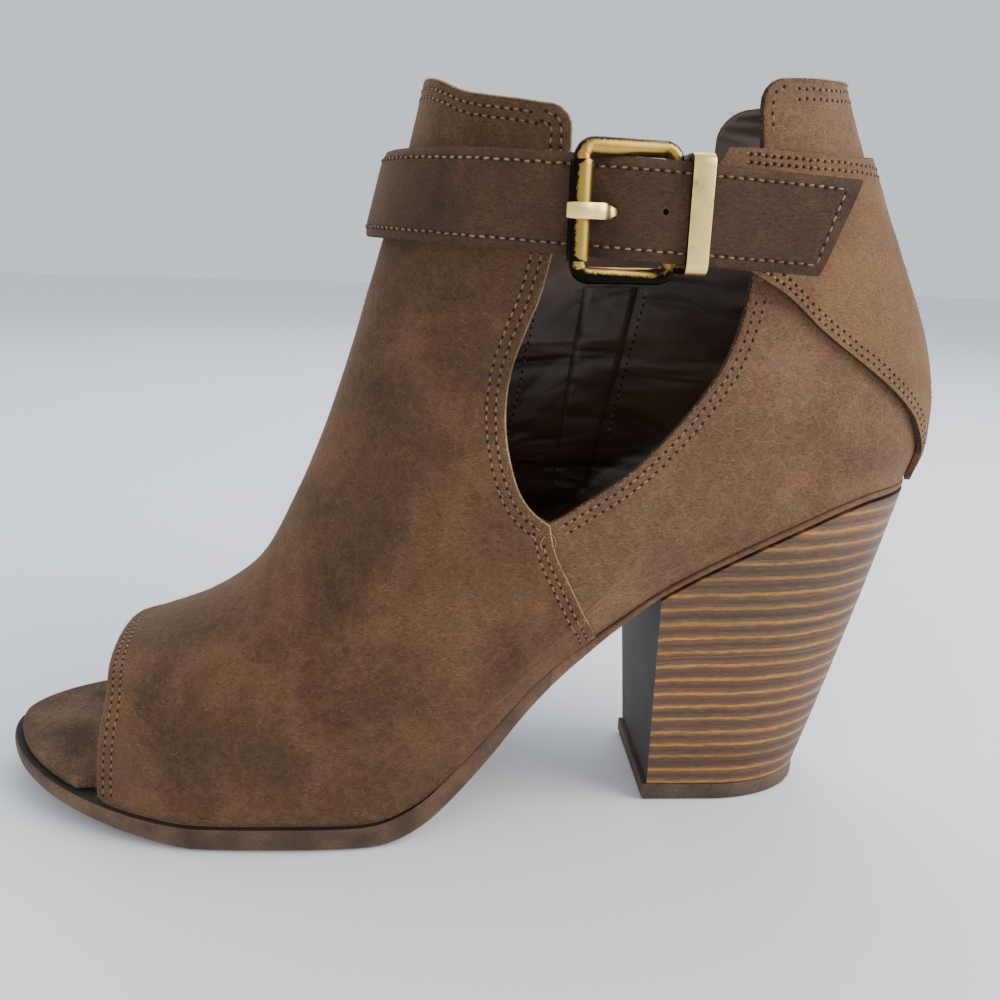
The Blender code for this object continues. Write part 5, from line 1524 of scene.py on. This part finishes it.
def hairsAlong(name, chains, count, reach):
    # loose nap: thin bent hairs of three sides, standing out from the nubuck
    points, faces = [], []
    rows = [row for chain in chains for row in chain]
    for _ in range(count):
        place, onward, outward = rows[dice.integers(len(rows))]
        side = np.cross(outward, onward)
        place = place + onward * dice.uniform(-1.2, 1.2) * mm + side * dice.uniform(-0.5, 0.5) * mm
        tip = outward * dice.uniform(0.3, 1.0) + onward * dice.normal(0, 0.8) + side * dice.normal(0, 0.5)
        tip /= np.linalg.norm(tip)
        long = reach * dice.uniform(0.35, 1.0)
        bend = onward * dice.normal(0, 0.3) * long
        start = len(points)
        for at, thick in ((0.0, 0.045), (0.55, 0.035)):
            centre = place + tip * long * at + bend * at * at
            for k in range(3):
                angle = 2 * math.pi * k / 3
                points.append(centre + (onward * math.cos(angle) + side * math.sin(angle)) * thick * mm)
        points.append(place + tip * long + bend)
        for k in range(3):
            j = (k + 1) % 3
            faces.append((start + k, start + j, start + 3 + j, start + 3 + k))
            faces.append((start + 3 + k, start + 3 + j, start + 6))
        faces.append((start + 2, start + 1, start))
    dress(makeObject(name, points, faces, napHair), "upper_suede")


def edgeChains():
    chains = [rowByTurn(collarTest(0.2 * mm), np.linspace(-0.20, 0.125, 160), -0.3 * mm),
              rowByTurn(collarTest(0.2 * mm), np.linspace(0.32, 0.80, 160), quarter),
              rowByTurn(toeTest(0.2 * mm), np.linspace(-0.30, 0.30, 260), -0.3 * mm),
              rowOnSide(shifted(lines["front"], 0.3 * mm)), rowOnSide(shifted(lines["rear"], -0.3 * mm)),
              rowOnSide(between(shifted(lines["seam"], 0.2 * mm), 9, 79.5))]
    # only where a real edge is within 1 mm
    return [[row for row in chain
             if min(tree.find_nearest(Vector(row[0]))[3] for tree in bodyTrees) < 1.0 * mm] for chain in chains]


def surfaceChains():
    # places spread over the vamp and the quarter, for the nap that catches the light on the outline
    chains = []
    for shell in (vampShell, quarterShell, backPanel):
        faces = [p for p in shell.data.polygons if p.material_index == 0]
        picked = dice.choice(len(faces), min(2600, len(faces)), replace=False)
        row = []
        for k in picked:
            outward = np.array(faces[k].normal)
            onward = np.cross(outward, (0.3, 0.2, 1.0))
            onward /= np.linalg.norm(onward) + 1e-9
            row.append((np.array(faces[k].center), onward, outward))
        chains.append(row)
    return chains


hairsAlong("edgeNap", edgeChains(), nap["edgeHairs"], nap["edgeReach"])
hairsAlong("surfaceNap", surfaceChains(), nap["surfaceHairs"], nap["surfaceReach"])
print("nap made")


looseThreads = (
    # each a loose thread end, seen from the side in millimetres: it starts and ends on the nubuck
    ((-52.8, 79.4), (-51.6, 78.6), (-50.9, 77.2), (-51.2, 75.6)),
    ((-53.6, 78.6), (-54.4, 77.0), (-53.9, 75.4)),
)


def makeThreads():
    for i, way in enumerate(looseThreads):
        seated = []
        for k, (x, z) in enumerate(way):
            hits = [tree.ray_cast(Vector((x * mm, -0.2, z * mm)), Vector((0, 1, 0)))[0] for tree in bodyTrees]
            y = min(hit.y for hit in hits if hit)
            seated.append((x * mm, y - (0.05 + 0.55 * math.sin(math.pi * k / (len(way) - 1))) * mm, z * mm))
        run = curveThrough(seated, 8)
        sections = []
        for k, centre in enumerate(run):
            onward = run[min(k + 1, len(run) - 1)] - run[max(k - 1, 0)]
            onward /= np.linalg.norm(onward)
            side = np.cross(onward, (0.2, 1.0, 0.1))
            side /= np.linalg.norm(side)
            above = np.cross(side, onward)
            sections.append([centre + (side * math.cos(a) + above * math.sin(a)) * 0.13 * mm
                             for a in np.arange(6) * math.pi / 3])
        made = tubeThrough(f"looseThread{i}", sections, tanThread)
        smoothBy(made, 60)
        dress(made, "upper_suede")


makeThreads()


# ---- camera, light and floor

view = {
    "place": (-75.14 * mm, -231.29 * mm, 141.48 * mm), "yaw": 3.33, "pitch": 15.53, "roll": 1.66,
    "focal": 925.8,   # in pixels of a 1000 pixel frame
}


def makeCamera():
    yaw, pitch, roll = (math.radians(view[k]) for k in ("yaw", "pitch", "roll"))
    ahead = Vector((math.sin(yaw) * math.cos(pitch), math.cos(yaw) * math.cos(pitch), -math.sin(pitch)))
    right = Vector((math.cos(yaw), -math.sin(yaw), 0))
    up = right.cross(ahead)
    turned = (right * math.cos(roll) + up * math.sin(roll), up * math.cos(roll) - right * math.sin(roll), -ahead)
    camera = bpy.data.objects.new("camera", bpy.data.cameras.new("camera"))
    camera.matrix_world = Matrix.Translation(view["place"]) @ Matrix(turned).transposed().to_4x4()
    camera.data.sensor_width = 36
    camera.data.lens = view["focal"] / 1000 * 36
    camera.data.clip_start = 0.001
    bpy.context.scene.collection.objects.link(camera)
    bpy.context.scene.camera = camera


def addLight(name, place, target, size, power, colour):
    light = bpy.data.lights.new(name, "AREA")
    light.shape, light.size, light.size_y = "RECTANGLE", *size
    light.energy, light.color = power, hexColour(colour)[:3]
    made = bpy.data.objects.new(name, light)
    made.location = place
    made.rotation_euler = (Vector(target) - Vector(place)).to_track_quat("-Z", "Y").to_euler()
    bpy.context.scene.collection.objects.link(made)


def makeStage():
    floorPaint, tree, shader = newMaterial("paleTable", Roughness=0.9, Specular_IOR_Level=0.2)
    shader.inputs["Base Color"].default_value = hexColour("#edf0f5")
    bpy.ops.mesh.primitive_plane_add(size=6, location=(0, 0, -0.0002))
    floor = bpy.context.object
    floor.name = "floor"
    floor.data.materials.append(floorPaint)
    # a soft window on the right, sky from above and behind, weak fill from the left and the front
    addLight("windowLight", (0.80, -0.30, 0.62), (-0.02, 0, 0.08), (0.8, 0.8), 13.0, "#fffdf8")
    addLight("skyLight", (-0.05, 0.75, 0.95), (-0.05, 0, 0.08), (1.4, 0.9), 7.0, "#f4f7ff")
    addLight("fillLight", (-0.75, -0.75, 0.55), (-0.08, 0, 0.06), (0.9, 0.9), 2.0, "#fff4e6")
    world = bpy.data.worlds.new("studio")
    world.use_nodes = True
    world.node_tree.nodes["Background"].inputs[0].default_value = hexColour("#d4dae0")
    world.node_tree.nodes["Background"].inputs[1].default_value = 1.2
    bpy.context.scene.world = world


makeCamera()
makeStage()
print("stage made")
